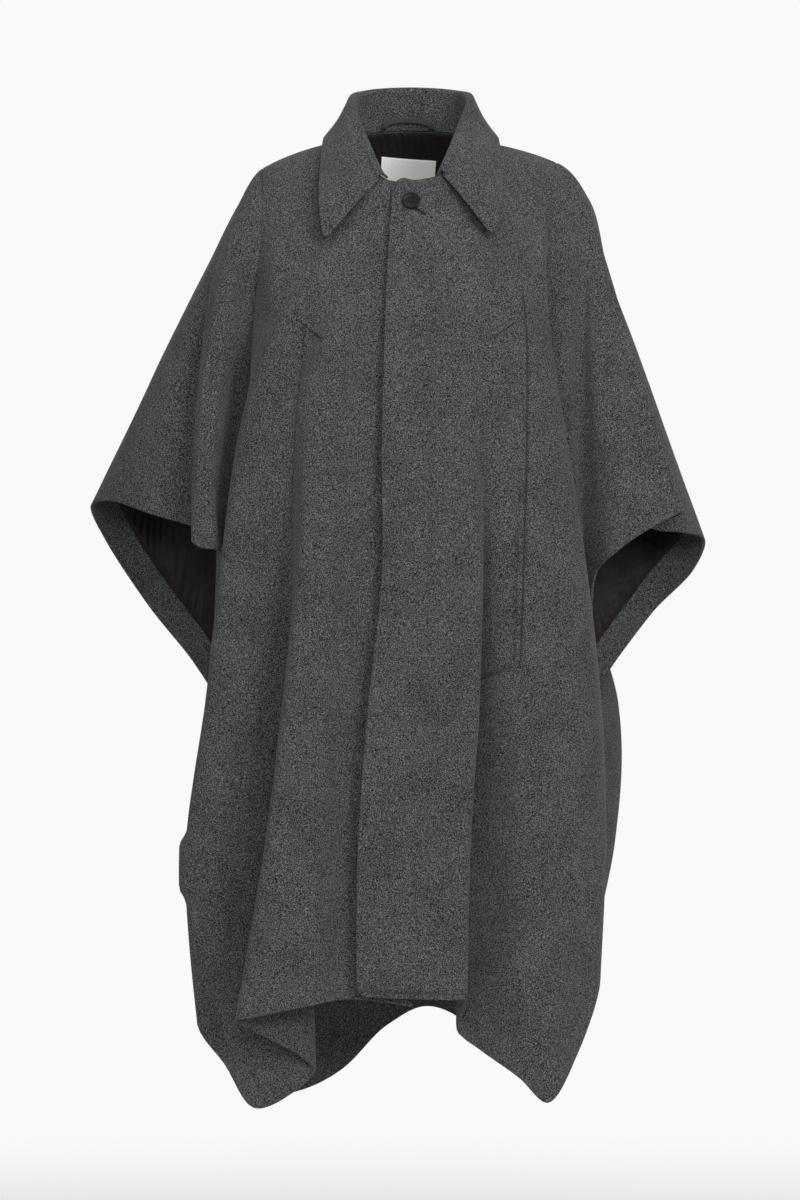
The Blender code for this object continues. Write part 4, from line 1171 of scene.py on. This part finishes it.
up /= np.linalg.norm(up, axis=1)[:, None]
out = leaf_line - roll_line
out -= (out * up).sum(axis=1)[:, None] * up
out /= np.linalg.norm(out, axis=1)[:, None]
roll_centre = roll_line - ROLL_RADIUS * up
stand_top = roll_centre - ROLL_RADIUS * out
collar_rows = [seam_line + (stand_top - seam_line) * share for share in STAND_SHARES]
for turn in np.linspace(0, pi, ROLL_STEPS + 1):
    collar_rows.append(roll_centre + ROLL_RADIUS * (sin(turn) * up - cos(turn) * out))
leaf_top = collar_rows[-1]
for share in LEAF_SHARES:
    collar_rows.append(leaf_top + (leaf_line - leaf_top) * share)
collar = np.array(collar_rows)[:, ::-1]
leaf_rows = len(STAND_SHARES) + ROLL_STEPS
bow = np.zeros(len(collar))
bow[leaf_rows:] = LEAF_BOW * np.sin(pi * np.array((0.0, *LEAF_SHARES))) ** 1.2
hollow = sum(np.exp(-((collar_columns - column) / 2.2) ** 2) for column in SIDE_COLUMNS)
collar -= unit_normals(collar) * (bow[:, None] * (1.0 - SIDE_HOLLOW * hollow)[None, :])[:, :, None]
collar = rounded(collar, TIP_RADIUS)
collar = rounded(collar, TIP_RADIUS, last=True)
collar_step = shared_steps({"collar": collar})["collar"]
COLLAR_RIM = ((0.9, 0.0), (0.2, 0.22), (0.0, 0.5), (0.35, 0.82), (1.4, 1.0))
coat["collar"] = sewn_sheet("wool_collar", "collar", "wool", "back", brushed_wool, collar,
                            collar_step, 0.0, COLLAR_WALL, COLLAR_RIM)

# %% [markdown]
# ## Facings and lining
#
# Inside the hems the wool is doubled by a facing, 105 mm deep at the bottom and 48 mm at the
# sleeves, and from there up the coat is lined. A lining has some spare cloth so that it never
# pulls, and the spare cloth lies in shallow wrinkles.

# %% Facings
LINED_FROM = {"front_left": (left_places, 1), "front_right": (right_places, 1)}


def lined_part(name):
    """The columns of a panel that are lined: not the edge that the other front laps over."""
    cols = nets[name].shape[1]
    if name not in LINED_FROM:
        return slice(0, cols)
    places, knot = LINED_FROM[name]
    first = int(np.argmin(np.abs(places - knot)))
    return slice(first, cols) if name == "front_left" else slice(0, cols - first)


def facing_row(name):
    places = SLEEVE_PLACES[1:] if name.startswith("sleeve") else BODY_PLACES
    return int(np.argmin(np.abs(places - (CUFF_ROW if name.startswith("sleeve") else FACING_ROW))))


INSIDE = WOOL_WALL + LAYER_GAP
for name in WOOL_ORDER:
    part = nets[name][facing_row(name):, lined_part(name)]
    step = steps[name][facing_row(name):, lined_part(name)]
    short = name.replace("front_", "")
    sewn_sheet("facing_" + short + "_wool", "facing_" + short, "wool", name, brushed_wool, part, step,
               INSIDE, FACING_WALL, THIN_RIM, 0.6)
print("facings: 5")


# %% Lining
GATHERS = 3.2
WRINKLES = 2.6
PUCKERS = 3.4
PUCKER_PITCH = 15.0
PUCKER_DRIFT = 7.0
PUCKER_FADE = 90.0
GATHER_PITCH = 9.0
GATHER_DRIFT = 5.0
GATHER_REACH = 130.0


def lining_swell(name, net):
    """How far the lining stands off the wool: wrinkles everywhere, gathers round the neck."""
    swell = np.zeros(net.shape[:2])
    for r in range(net.shape[0]):
        for c in range(net.shape[1]):
            x, y, z = net[r, c]
            soft = noise.noise(Vector((x * 0.035, y * 0.035, z * 0.018 + 9.0)))
            sharp = 1.0 - 2.2 * abs(noise.noise(Vector((x * 0.05, y * 0.05, z * 0.022 + 30.0))))
            swell[r, c] = WRINKLES * max(0.0, 0.45 + 0.6 * soft) * max(0.25, sharp)
    over = run_across(net)
    down = run_down(net)
    top, bottom, first, last = from_edges(net)
    if name.startswith("sleeve"):
        drift = np.array([[noise.noise(Vector((x * 0.03, y * 0.03, z * 0.012))) for x, y, z in row]
                          for row in net])
        waves = 0.5 + 0.5 * np.sin(2 * pi * over / PUCKER_PITCH + PUCKER_DRIFT * drift)
        swell += PUCKERS * waves ** 2 * (1.0 - smooth(bottom / PUCKER_FADE))
    if name == "back":
        drift = np.array([noise.noise(Vector((x * 0.02, 0.0, 5.0))) for x in over[0]])
        pleats = 0.5 + 0.5 * np.sin(2 * pi * over[:1] / GATHER_PITCH + GATHER_DRIFT * drift[None, :])
        near_neck = (1.0 - smooth(down / GATHER_REACH)) * smooth((GATHER_REACH - abs(net[:, :, 0])) / 60)
        swell += GATHERS * pleats ** 2 * near_neck
    return swell * smooth(top / 4) * smooth(bottom / 6) * smooth(first / 6) * smooth(last / 6)


for name in WOOL_ORDER:
    first_row = int(np.argmin(np.abs(SLEEVE_PLACES[1:] - 2))) if name.startswith("sleeve") else 0
    part = nets[name][first_row:facing_row(name) + 1, lined_part(name)]
    step = steps[name][first_row:facing_row(name) + 1, lined_part(name)]
    short = name.replace("front_", "")
    coat["lining_" + short] = sewn_sheet(
        "lining_" + short + "_satin", "lining_" + short, "lining", name, black_satin, part, step,
        INSIDE, LINING_WALL, THIN_RIM, 0.3, lining_swell(name, part))
print("linings: 5")

# %% [markdown]
# ## Small parts on the cloth
#
# The chest darts, the neck label, the hanger loop and the button all lie on cloth that is
# curved. A ray shot at the cloth finds the place for each of their points, so they follow it.


# %% Finding places on the cloth
FRONT_RAY = -400.0


def surface_of(piece):
    mesh = piece.data
    return BVHTree.FromPolygons([vertex.co / MM for vertex in mesh.vertices],
                                [polygon.vertices[:] for polygon in mesh.polygons])


def struck(surface, x, z, start_y):
    place, normal, _, _ = surface.ray_cast(Vector((x, start_y, z)), Vector((0.0, 1.0, 0.0)))
    normal = np.array(normal)
    return np.array(place), normal if normal[1] < 0 else -normal


def patch_on(surface, centre, along, width, height, rows, cols, start_y, lift):
    along = np.array(along) / np.linalg.norm(along)
    down = np.array((along[1], -along[0]))
    net = np.zeros((rows, cols, 3))
    for r in range(rows):
        for c in range(cols):
            x, z = (np.array(centre) + along * width * (c / (cols - 1) - 0.5)
                    + down * height * (r / (rows - 1) - 0.5))
            place, normal = struck(surface, x, z, start_y)
            net[r, c] = place + normal * lift
    return net


# %% Chest darts
Dart = namedtuple("Dart", "name panel centre along")
DARTS = (
    Dart("chest_dart_left", "front_left", (106.0, -199.0), (44.0, 28.0)),
    Dart("chest_dart_right", "front_right", (-118.0, -197.0), (33.0, -27.0)),
)
DART_LENGTH = 42.0
DART_WIDTH = 7.0
DART_HEIGHT = 2.2
DART_WALL = 0.9
DART_LIFT = 0.25
# Painted shade: the dart's long edges are darkened for the shade beside its raised ridge, with some pressed
# nap.
DART_EDGE_SHADE = 0.85
# The cloth turned in under each long edge is out of sight.
DART_TURNED_IN = 1.05
DART_GRID = (15, 43)
for dart in DARTS:
    net = patch_on(surface_of(coat[dart.panel]), dart.centre, dart.along, DART_LENGTH, DART_WIDTH,
                   *DART_GRID, FRONT_RAY, DART_LIFT)
    across_dart = np.linspace(-1, 1, DART_GRID[0])[:, None]
    along_dart = np.linspace(-1, 1, DART_GRID[1])[None, :]
    ridge = np.sqrt(np.clip(1 - across_dart ** 2, 0, 1)) * (1 - along_dart ** 6)
    net = net + unit_normals(net) * (DART_HEIGHT * ridge)[:, :, None]
    # Painted shade along both long edges of the dart, with some pressed nap.
    dart_edge_shade = DART_EDGE_SHADE * smooth(abs(across_dart) * 3.2 - 2.1) + 0 * along_dart
    sewn_sheet(dart.name + "_wool", dart.name, "wool", dart.panel, brushed_wool, net,
               unit_normals(net) * (0.25 + 0.75 * ridge)[:, :, None], 0.0, DART_WALL, THIN_RIM, 0.0,
               nap=dart_edge_shade, turned_in=DART_TURNED_IN)

# %% Neck label
LABEL_SIZE = (67.0, 44.0)
LABEL_LIFT = 2.2
LABEL_SMOOTHINGS = 30
base = patch_on(surface_of(coat["lining_back"]), (-4.0, -4.0), (55.0, -4.0), *LABEL_SIZE, 23, 34,
                0.0, 0.0)
for _ in range(LABEL_SMOOTHINGS):
    base[1:-1] = 0.5 * base[1:-1] + 0.25 * (base[:-2] + base[2:])
    base[:, 1:-1] = 0.5 * base[:, 1:-1] + 0.25 * (base[:, :-2] + base[:, 2:])
label_net = base + unit_normals(base) * LABEL_LIFT
sewn_sheet("label_cloth", "label", "label", "lining_back", label_weave, label_net,
           unit_normals(label_net), 0.0, 0.5, THIN_RIM, 0.0)

# %% Hanger loop
LOOP_CENTRE = (-4.0, 51.0)
LOOP_SPAN = 58.0
LOOP_RISE = 12.0
LOOP_STEPS = 48
LOOP_HALF_WIDTH = 3.5
LOOP_WALL = 1.8
# The tape is 7 mm wide to the eye. The turned edges are an assumption, made for the same reason.
LOOP_TURNED_IN = 1.52
stand = surface_of(coat["collar"])
loop_rings = []
for step_number in range(LOOP_STEPS + 1):
    turn = pi * step_number / LOOP_STEPS
    x = LOOP_CENTRE[0] - LOOP_SPAN / 2 * cos(turn)
    z = LOOP_CENTRE[1] + LOOP_RISE * sin(turn) ** 0.7
    depth = min(struck(stand, x + reach, z, 0.0)[0][1] for reach in (-3, 0, 3))
    loop_rings.append((x, depth - 1.4 - 3.0 * sin(turn), z))
loop_path = np.array(loop_rings)
heading = np.gradient(loop_path, axis=0)
heading /= np.linalg.norm(heading, axis=1)[:, None]
broad = np.cross(heading, (0.0, 1.0, 0.0))
broad /= np.linalg.norm(broad, axis=1)[:, None]
loop_net = np.array([loop_path + broad * side for side in np.linspace(-LOOP_HALF_WIDTH, LOOP_HALF_WIDTH, 7)])
loop_step = unit_normals(loop_net)
loop_net = loop_net if loop_step[3, 24, 1] < 0 else loop_net[:, ::-1]
loop_step = unit_normals(loop_net)
hump = 0.35 * np.cos(np.linspace(-1.2, 1.2, 7))[:, None, None]
loop_net = loop_net + loop_step * hump
sewn_sheet("hanger_loop_tape", "hanger_loop", "loop", "collar", loop_tape, loop_net, loop_step,
           0.0, LOOP_WALL, THIN_RIM, 0.0, turned_in=LOOP_TURNED_IN)

# %% [markdown]
# ## The button
#
# A turned disc of dark horn with a raised rim and four holes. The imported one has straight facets,
# so a rounder one takes its place, made the same way: a profile spun round the button's axis.

# %% Button
horn, horn_tree, horn_shader = new_material("dark_horn", (0.018, 0.021, 0.021), roughness=0.45,
                                            specular_ior_level=0.2, coat_weight=0.06, coat_roughness=0.15)
horn_place = add(horn_tree, "ShaderNodeTexCoord")
streaks = add(horn_tree, "ShaderNodeTexNoise", {"Scale": 260.0, "Detail": 4.0, "Distortion": 1.5})
horn_tree.links.new(horn_place.outputs["Object"], streaks.inputs["Vector"])
horn_ramp = add(horn_tree, "ShaderNodeValToRGB")
horn_ramp.color_ramp.elements[0].color = (0.0030, 0.0038, 0.0038, 1.0)
horn_ramp.color_ramp.elements[0].position = 0.35
horn_ramp.color_ramp.elements[1].color = (0.0100, 0.0122, 0.0122, 1.0)
horn_ramp.color_ramp.elements[1].position = 0.75
horn_tree.links.new(streaks.outputs["Fac"], horn_ramp.inputs["Fac"])
horn_tree.links.new(horn_ramp.outputs["Color"], horn_shader.inputs["Base Color"])

BUTTON_RADIUS = 10.5
BUTTON_HEIGHT = 3.6
HOLE_OFFSET = 1.9
HOLE_RADIUS = 0.9
low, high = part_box("button")
button_middle = (Vector(low) + Vector(high)) / 2
_, button_normal = struck(surface_of(coat["front_left"]), 0.0, -46.0, FRONT_RAY)
button_turn = Vector((0, 0, 1)).rotation_difference(Vector(button_normal)).to_matrix().to_4x4()
button_turn.translation = button_middle - Vector(button_normal) * (BUTTON_HEIGHT / 2 - 0.1) * MM
rim = BUTTON_RADIUS
PROFILE = ((0.0, 0.0), (rim - 2.2, 0.0), (rim - 0.9, 0.35), (rim - 0.25, 0.95), (rim, 1.7), (rim - 0.05, 2.4),
           (rim - 0.4, 3.15), (rim - 0.95, 3.55), (rim - 1.6, 3.6), (rim - 2.2, 3.35), (rim - 2.7, 2.95),
           (rim - 3.4, 2.7), (rim - 5.0, 2.55), (0.0, 2.5))


def turned_work(profile, sides):
    work = bmesh.new()
    verts = [work.verts.new((radius * MM, 0.0, height * MM)) for radius, height in profile]
    edges = [work.edges.new(pair) for pair in zip(verts, verts[1:])]
    bmesh.ops.spin(work, geom=verts + edges, cent=(0, 0, 0), axis=(0, 0, 1), angle=2 * pi,
                   steps=sides, use_duplicate=False)
    bmesh.ops.remove_doubles(work, verts=work.verts, dist=0.000001)
    bmesh.ops.recalc_face_normals(work, faces=work.faces)
    return work


def object_from(name, work, material):
    mesh = bpy.data.meshes.new(name)
    work.to_mesh(mesh)
    work.free()
    mesh.materials.append(material)
    made = bpy.data.objects.new(name, mesh)
    bpy.context.scene.collection.objects.link(made)
    return made


button = object_from("horn_button", turned_work(PROFILE, 72), horn)
drill_work = bmesh.new()
for dx, dy in ((1, 1), (-1, 1), (-1, -1), (1, -1)):
    hole = bmesh.ops.create_cone(drill_work, cap_ends=True, segments=20, radius1=HOLE_RADIUS * MM,
                                 radius2=HOLE_RADIUS * MM, depth=12 * MM)
    bmesh.ops.translate(drill_work, verts=hole["verts"],
                        vec=(dx * HOLE_OFFSET * MM, dy * HOLE_OFFSET * MM, 0))
drill = object_from("button_drill", drill_work, horn)
holes = button.modifiers.new("holes", "BOOLEAN")
holes.operation = "DIFFERENCE"
holes.object = drill
drilled = bpy.data.meshes.new_from_object(button.evaluated_get(bpy.context.evaluated_depsgraph_get()))
button.modifiers.clear()
button.data = drilled
bpy.data.objects.remove(drill, do_unlink=True)
button.data.transform(button_turn)
for polygon in button.data.polygons:
    polygon.use_smooth = len(polygon.vertices) < 8
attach(button, "root")
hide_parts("button")
print("button faces:", len(button.data.polygons))

# %% The thread that holds the button
BAR_RADIUS = 0.26
BAR_SIDES = 8
bars = bmesh.new()
for side in (-HOLE_OFFSET, HOLE_OFFSET):
    rings = []
    for place in np.linspace(-1, 1, 13):
        lift = 2.5 + 0.75 * (1 - place ** 4) - 1.2 * abs(place) ** 8
        slope = -place * 0.8
        ring = []
        for k in range(BAR_SIDES):
            turn = 2 * pi * k / BAR_SIDES
            ring.append(bars.verts.new(((side + BAR_RADIUS * cos(turn)) * MM,
                                        (place * HOLE_OFFSET - slope * BAR_RADIUS * sin(turn)) * MM,
                                        (lift + BAR_RADIUS * sin(turn)) * MM)))
        rings.append(ring)
    for ring, after in zip(rings, rings[1:]):
        for k in range(BAR_SIDES):
            bars.faces.new((ring[k], ring[(k + 1) % BAR_SIDES], after[(k + 1) % BAR_SIDES], after[k]))
    bars.faces.new(rings[0][::-1])
    bars.faces.new(rings[-1])
bmesh.ops.recalc_face_normals(bars, faces=bars.faces)
thread = object_from("button_thread", bars, dark_thread)
thread.data.transform(button_turn)
for polygon in thread.data.polygons:
    polygon.use_smooth = True
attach(thread, "root")
print("button thread faces:", len(thread.data.polygons))

# %% [markdown]
# ## Stitches
#
# A stitch is a short bead of thread, and a seam is hundreds of them, so one tree of Geometry
# Nodes sews them all: it walks along a line, puts a bead at every pitch, and turns each bead
# along the line and out of the cloth. The line is a mesh of edges, and each of its points keeps
# the cloth's own direction there, because a line alone doesn't know which way is out.


# %% A tree that sews along a line
def sewing_tree():
    tree = bpy.data.node_groups.new("sewing", "GeometryNodeTree")
    tree.interface.new_socket("Geometry", in_out="INPUT", socket_type="NodeSocketGeometry")
    for title in ("Pitch", "Length", "Width", "Height"):
        tree.interface.new_socket(title, in_out="INPUT", socket_type="NodeSocketFloat").default_value = MM
    tree.interface.new_socket("Thread", in_out="INPUT", socket_type="NodeSocketMaterial")
    tree.interface.new_socket("Geometry", in_out="OUTPUT", socket_type="NodeSocketGeometry")
    link = tree.links.new
    given = tree.nodes.new("NodeGroupInput")
    result = tree.nodes.new("NodeGroupOutput")
    path = add(tree, "GeometryNodeMeshToCurve")
    spots = add(tree, "GeometryNodeCurveToPoints", mode="LENGTH")
    link(given.outputs["Geometry"], path.inputs["Mesh"])
    link(path.outputs["Curve"], spots.inputs["Curve"])
    link(given.outputs["Pitch"], spots.inputs["Length"])
    facing = add(tree, "GeometryNodeInputNamedAttribute", {"Name": "facing"}, data_type="FLOAT_VECTOR")
    ahead = add(tree, "FunctionNodeAlignRotationToVector", axis="X")
    outward = add(tree, "FunctionNodeAlignRotationToVector", axis="Z", pivot_axis="X")
    link(spots.outputs["Tangent"], ahead.inputs["Vector"])
    link(ahead.outputs["Rotation"], outward.inputs["Rotation"])
    link(facing.outputs["Attribute"], outward.inputs["Vector"])
    bead = add(tree, "GeometryNodeMeshUVSphere", {"Segments": 8, "Rings": 5, "Radius": 0.5})
    size = add(tree, "ShaderNodeCombineXYZ")
    for axis, title in zip("XYZ", ("Length", "Width", "Height")):
        link(given.outputs[title], size.inputs[axis])
    sewn = add(tree, "GeometryNodeInstanceOnPoints")
    link(spots.outputs["Points"], sewn.inputs["Points"])
    link(bead.outputs["Mesh"], sewn.inputs["Instance"])
    link(outward.outputs["Rotation"], sewn.inputs["Rotation"])
    link(size.outputs["Vector"], sewn.inputs["Scale"])
    real = add(tree, "GeometryNodeRealizeInstances")
    dyed = add(tree, "GeometryNodeSetMaterial")
    link(sewn.outputs["Instances"], real.inputs["Geometry"])
    link(real.outputs["Geometry"], dyed.inputs["Geometry"])
    link(given.outputs["Thread"], dyed.inputs["Material"])
    link(dyed.outputs["Geometry"], result.inputs["Geometry"])
    return tree


sewing = sewing_tree()
SOCKETS = {item.name: item.identifier for item in sewing.interface.items_tree
           if item.item_type == "SOCKET" and item.in_out == "INPUT"}
Thread = namedtuple("Thread", "pitch length width height material slot")
TOPSTITCH = Thread(3.0, 2.3, 0.7, 0.5, dark_thread, "wool")
TACK = Thread(0.75, 0.65, 2.3, 0.7, dark_thread, "wool")
# The slit beads are near black: painted shade in the buttonhole's cut.
SLIT = Thread(0.7, 1.7, 0.9, 0.35, slit_shade, "wool")
LABEL_STITCH = Thread(2.6, 2.0, 0.45, 0.4, label_thread, "label")
LOOP_TACK = Thread(0.8, 0.7, 2.2, 0.7, dark_thread, "loop")
print("stitch inputs:", ", ".join(SOCKETS))


# %% Sewing along a line of points
def sew(name, points, facings, thread):
    points = np.asarray(points, float) * MM
    mesh = bpy.data.meshes.new(name)
    mesh.from_pydata(points.tolist(), [(k, k + 1) for k in range(len(points) - 1)], [])
    mesh.attributes.new("facing", "FLOAT_VECTOR", "POINT").data.foreach_set("vector", np.ravel(facings))
    piece = bpy.data.objects.new(name, mesh)
    bpy.context.scene.collection.objects.link(piece)
    needle = piece.modifiers.new("sewing", "NODES")
    needle.node_group = sewing
    for title, size in (("Pitch", thread.pitch), ("Length", thread.length), ("Width", thread.width),
                        ("Height", thread.height)):
        needle[SOCKETS[title]] = size * MM
    needle[SOCKETS["Thread"]] = thread.material
    stitched = bpy.data.meshes.new_from_object(piece.evaluated_get(bpy.context.evaluated_depsgraph_get()))
    piece.modifiers.clear()
    piece.data = stitched
    for polygon in stitched.polygons:
        polygon.use_smooth = True
    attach(piece, "root")
    print(f"{name}: {len(stitched.polygons)} faces")


def struck_line(surface, start, end, count, start_y, lift):
    """Points on a surface under a straight line seen from the front, and which way is out there."""
    found = [struck(surface, *(np.array(start) + (np.array(end) - start) * t), start_y)
             for t in np.linspace(0, 1, count)]
    return [place + normal * lift for place, normal in found], [normal for _, normal in found]


# %% Placket, pocket, buttonhole, label and loop
panel = nets["front_left"]
panel_normals = unit_normals(panel)
_, from_hem, over, _ = from_edges(panel)
along_hem = []
for column in range(panel.shape[1]):
    if over[-1, column] > 9.0 and left_places[column] <= 2.0:
        row = float(np.interp(-PLACKET_STITCH, -from_hem[:, column], range(len(from_hem))))
        low = int(row)
        along_hem.append((panel[low, column] * (1 - row + low) + panel[low + 1, column] * (row - low),
                          panel_normals[low, column]))
sew("placket_hem_stitches", [p + 0.1 * n for p, n in along_hem], [n for _, n in along_hem], TOPSTITCH)
front_surface = surface_of(coat["front_left"])
pocket_column = line_column("front_left", "pocket seam")
beside = int(np.argmin(abs(over[60] - over[60, pocket_column] + 8.0)))
rows = [r for r in range(panel.shape[0]) if -588 < panel[r, beside, 2] < -400]
sew("pocket_stitches", [panel[r, beside] + 0.1 * panel_normals[r, beside] for r in rows],
    [panel_normals[r, beside] for r in rows], TOPSTITCH)
HOLE_START, HOLE_END = (4.0, -54.5), (17.0, -62.5)
# A row of near-black beads paints the shade in the slit.
points, facings = struck_line(front_surface, HOLE_START, HOLE_END, 12, FRONT_RAY, 0.15)
sew("buttonhole_slit", points, facings, SLIT)
heading = np.array(HOLE_END) - HOLE_START
aside = np.array((heading[1], -heading[0])) / np.linalg.norm(heading) * 1.35
for name, side in (("upper", -1), ("lower", 1)):
    points, facings = struck_line(front_surface, HOLE_START + side * aside, HOLE_END + side * aside,
                                  12, FRONT_RAY, 0.1)
    sew("buttonhole_" + name + "_stitches", points, facings, TACK)
label_facing = unit_normals(label_net)
label_facing = -label_facing if label_facing[5, 5, 1] > 0 else label_facing
for name, column in (("right", 2), ("left", -3)):
    sew("label_" + name + "_stitches", label_net[1:-1, column] + 0.1 * label_facing[1:-1, column],
        label_facing[1:-1, column], LABEL_STITCH)
for name, place in (("right", 1), ("left", LOOP_STEPS - 1)):
    end = loop_net[3, place] + 0.5 * loop_step[3, place]
    line = [end + np.array((side, 0.0, 0.0)) for side in np.linspace(-2.4, 2.4, 5)]
    sew("loop_" + name + "_tack", line, [loop_step[3, place]] * 5, LOOP_TACK)

# %% [markdown]
# ## Stage, light and camera
#
# The coat hangs over a pale floor that fades out into a pale room, so it can be seen from all
# sides without an edge behind it. Two large soft lights stand either side of the camera, with
# a small one in front and others above and behind, as for a catalogue picture: soft light shows
# wool best, because hard light makes the nap look like sandpaper.

# %% Floor
FLOOR = -1.46
floor_work = bmesh.new()
bmesh.ops.create_circle(floor_work, cap_ends=True, segments=96, radius=3.2)
bmesh.ops.translate(floor_work, verts=floor_work.verts, vec=(0.0, 0.0, FLOOR))
paper, paper_tree, paper_shader = new_material("pale_floor", (0.86, 0.86, 0.855), roughness=0.9)
floor_place = add(paper_tree, "ShaderNodeTexCoord")
ring = add(paper_tree, "ShaderNodeVectorMath", operation="LENGTH")
floor_fade = add(paper_tree, "ShaderNodeMapRange", {"From Min": 0.9, "From Max": 3.0,
                                                    "To Min": 1.0, "To Max": 0.0})
floor_fade.interpolation_type = "SMOOTHSTEP"
flatten = add(paper_tree, "ShaderNodeVectorMath", {1: (1.0, 1.0, 0.0)}, operation="MULTIPLY")
paper_tree.links.new(floor_place.outputs["Object"], flatten.inputs[0])
paper_tree.links.new(flatten.outputs["Vector"], ring.inputs[0])
paper_tree.links.new(ring.outputs["Value"], floor_fade.inputs["Value"])
paper_tree.links.new(floor_fade.outputs["Result"], paper_shader.inputs["Alpha"])
floor = object_from("floor", floor_work, paper)
floor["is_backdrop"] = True


# %% Lights and camera
def area_light(name, place, target, size, power):
    data = bpy.data.lights.new(name, "AREA")
    data.shape = "RECTANGLE"
    data.size, data.size_y = size
    data.energy = power
    lamp = bpy.data.objects.new(name, data)
    bpy.context.scene.collection.objects.link(lamp)
    lamp.location = place
    lamp.rotation_euler = (Vector(target) - Vector(place)).to_track_quat("-Z", "Y").to_euler()
    return lamp


area_light("left_softbox", (-2.8, -3.2, 0.6), (0.0, 0.0, -0.5), (1.6, 2.4), 30)
area_light("right_softbox", (2.4, -3.6, 0.9), (0.0, 0.0, -0.5), (1.6, 2.4), 100)
area_light("top_softbox", (0.3, -1.2, 2.6), (0.0, 0.0, -0.4), (2.4, 1.8), 42)
area_light("front_softbox", (0.1, -5.4, 0.9), (0.0, 0.0, -0.1), (1.0, 1.0), 74)
area_light("back_softbox", (0.0, 3.8, 0.9), (0.0, 0.0, -0.5), (2.4, 2.4), 60)
world = bpy.data.worlds.new("studio")
bpy.context.scene.world = world
world.use_nodes = True
room = world.node_tree
room_light = room.nodes["Background"]
room_light.inputs["Color"].default_value = (1.0, 1.0, 1.0, 1.0)
room_light.inputs["Strength"].default_value = 0.17
room_seen = add(room, "ShaderNodeBackground", {"Color": (0.947, 0.947, 0.947, 1.0), "Strength": 1.0})
rays = add(room, "ShaderNodeLightPath")
room_mix = add(room, "ShaderNodeMixShader")
room.links.new(rays.outputs["Is Camera Ray"], room_mix.inputs[0])
room.links.new(room_light.outputs[0], room_mix.inputs[1])
room.links.new(room_seen.outputs[0], room_mix.inputs[2])
room.links.new(room_mix.outputs[0], room.nodes["World Output"].inputs["Surface"])
bpy.context.scene.view_settings.view_transform = "Standard"

camera_data = bpy.data.cameras.new("camera")
camera_data.sensor_fit = "VERTICAL"
camera_data.sensor_height = 36.0
camera_data.lens = 150.0
camera = bpy.data.objects.new("camera", camera_data)
bpy.context.scene.collection.objects.link(camera)
camera.location = (-0.0132, -6.0, -0.518)
camera.rotation_euler = (pi / 2, 0.0, 0.0)
bpy.context.scene.camera = camera
print("camera", tuple(round(v, 3) for v in camera.location))

# %% Sizes, and the end
visual_box = [list(corner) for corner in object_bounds()]
growth = [[round((v - c) * 1000, 1) for v, c in zip(a, b)] for a, b in zip(visual_box, cad_box)]
print("grown by", growth, "mm")
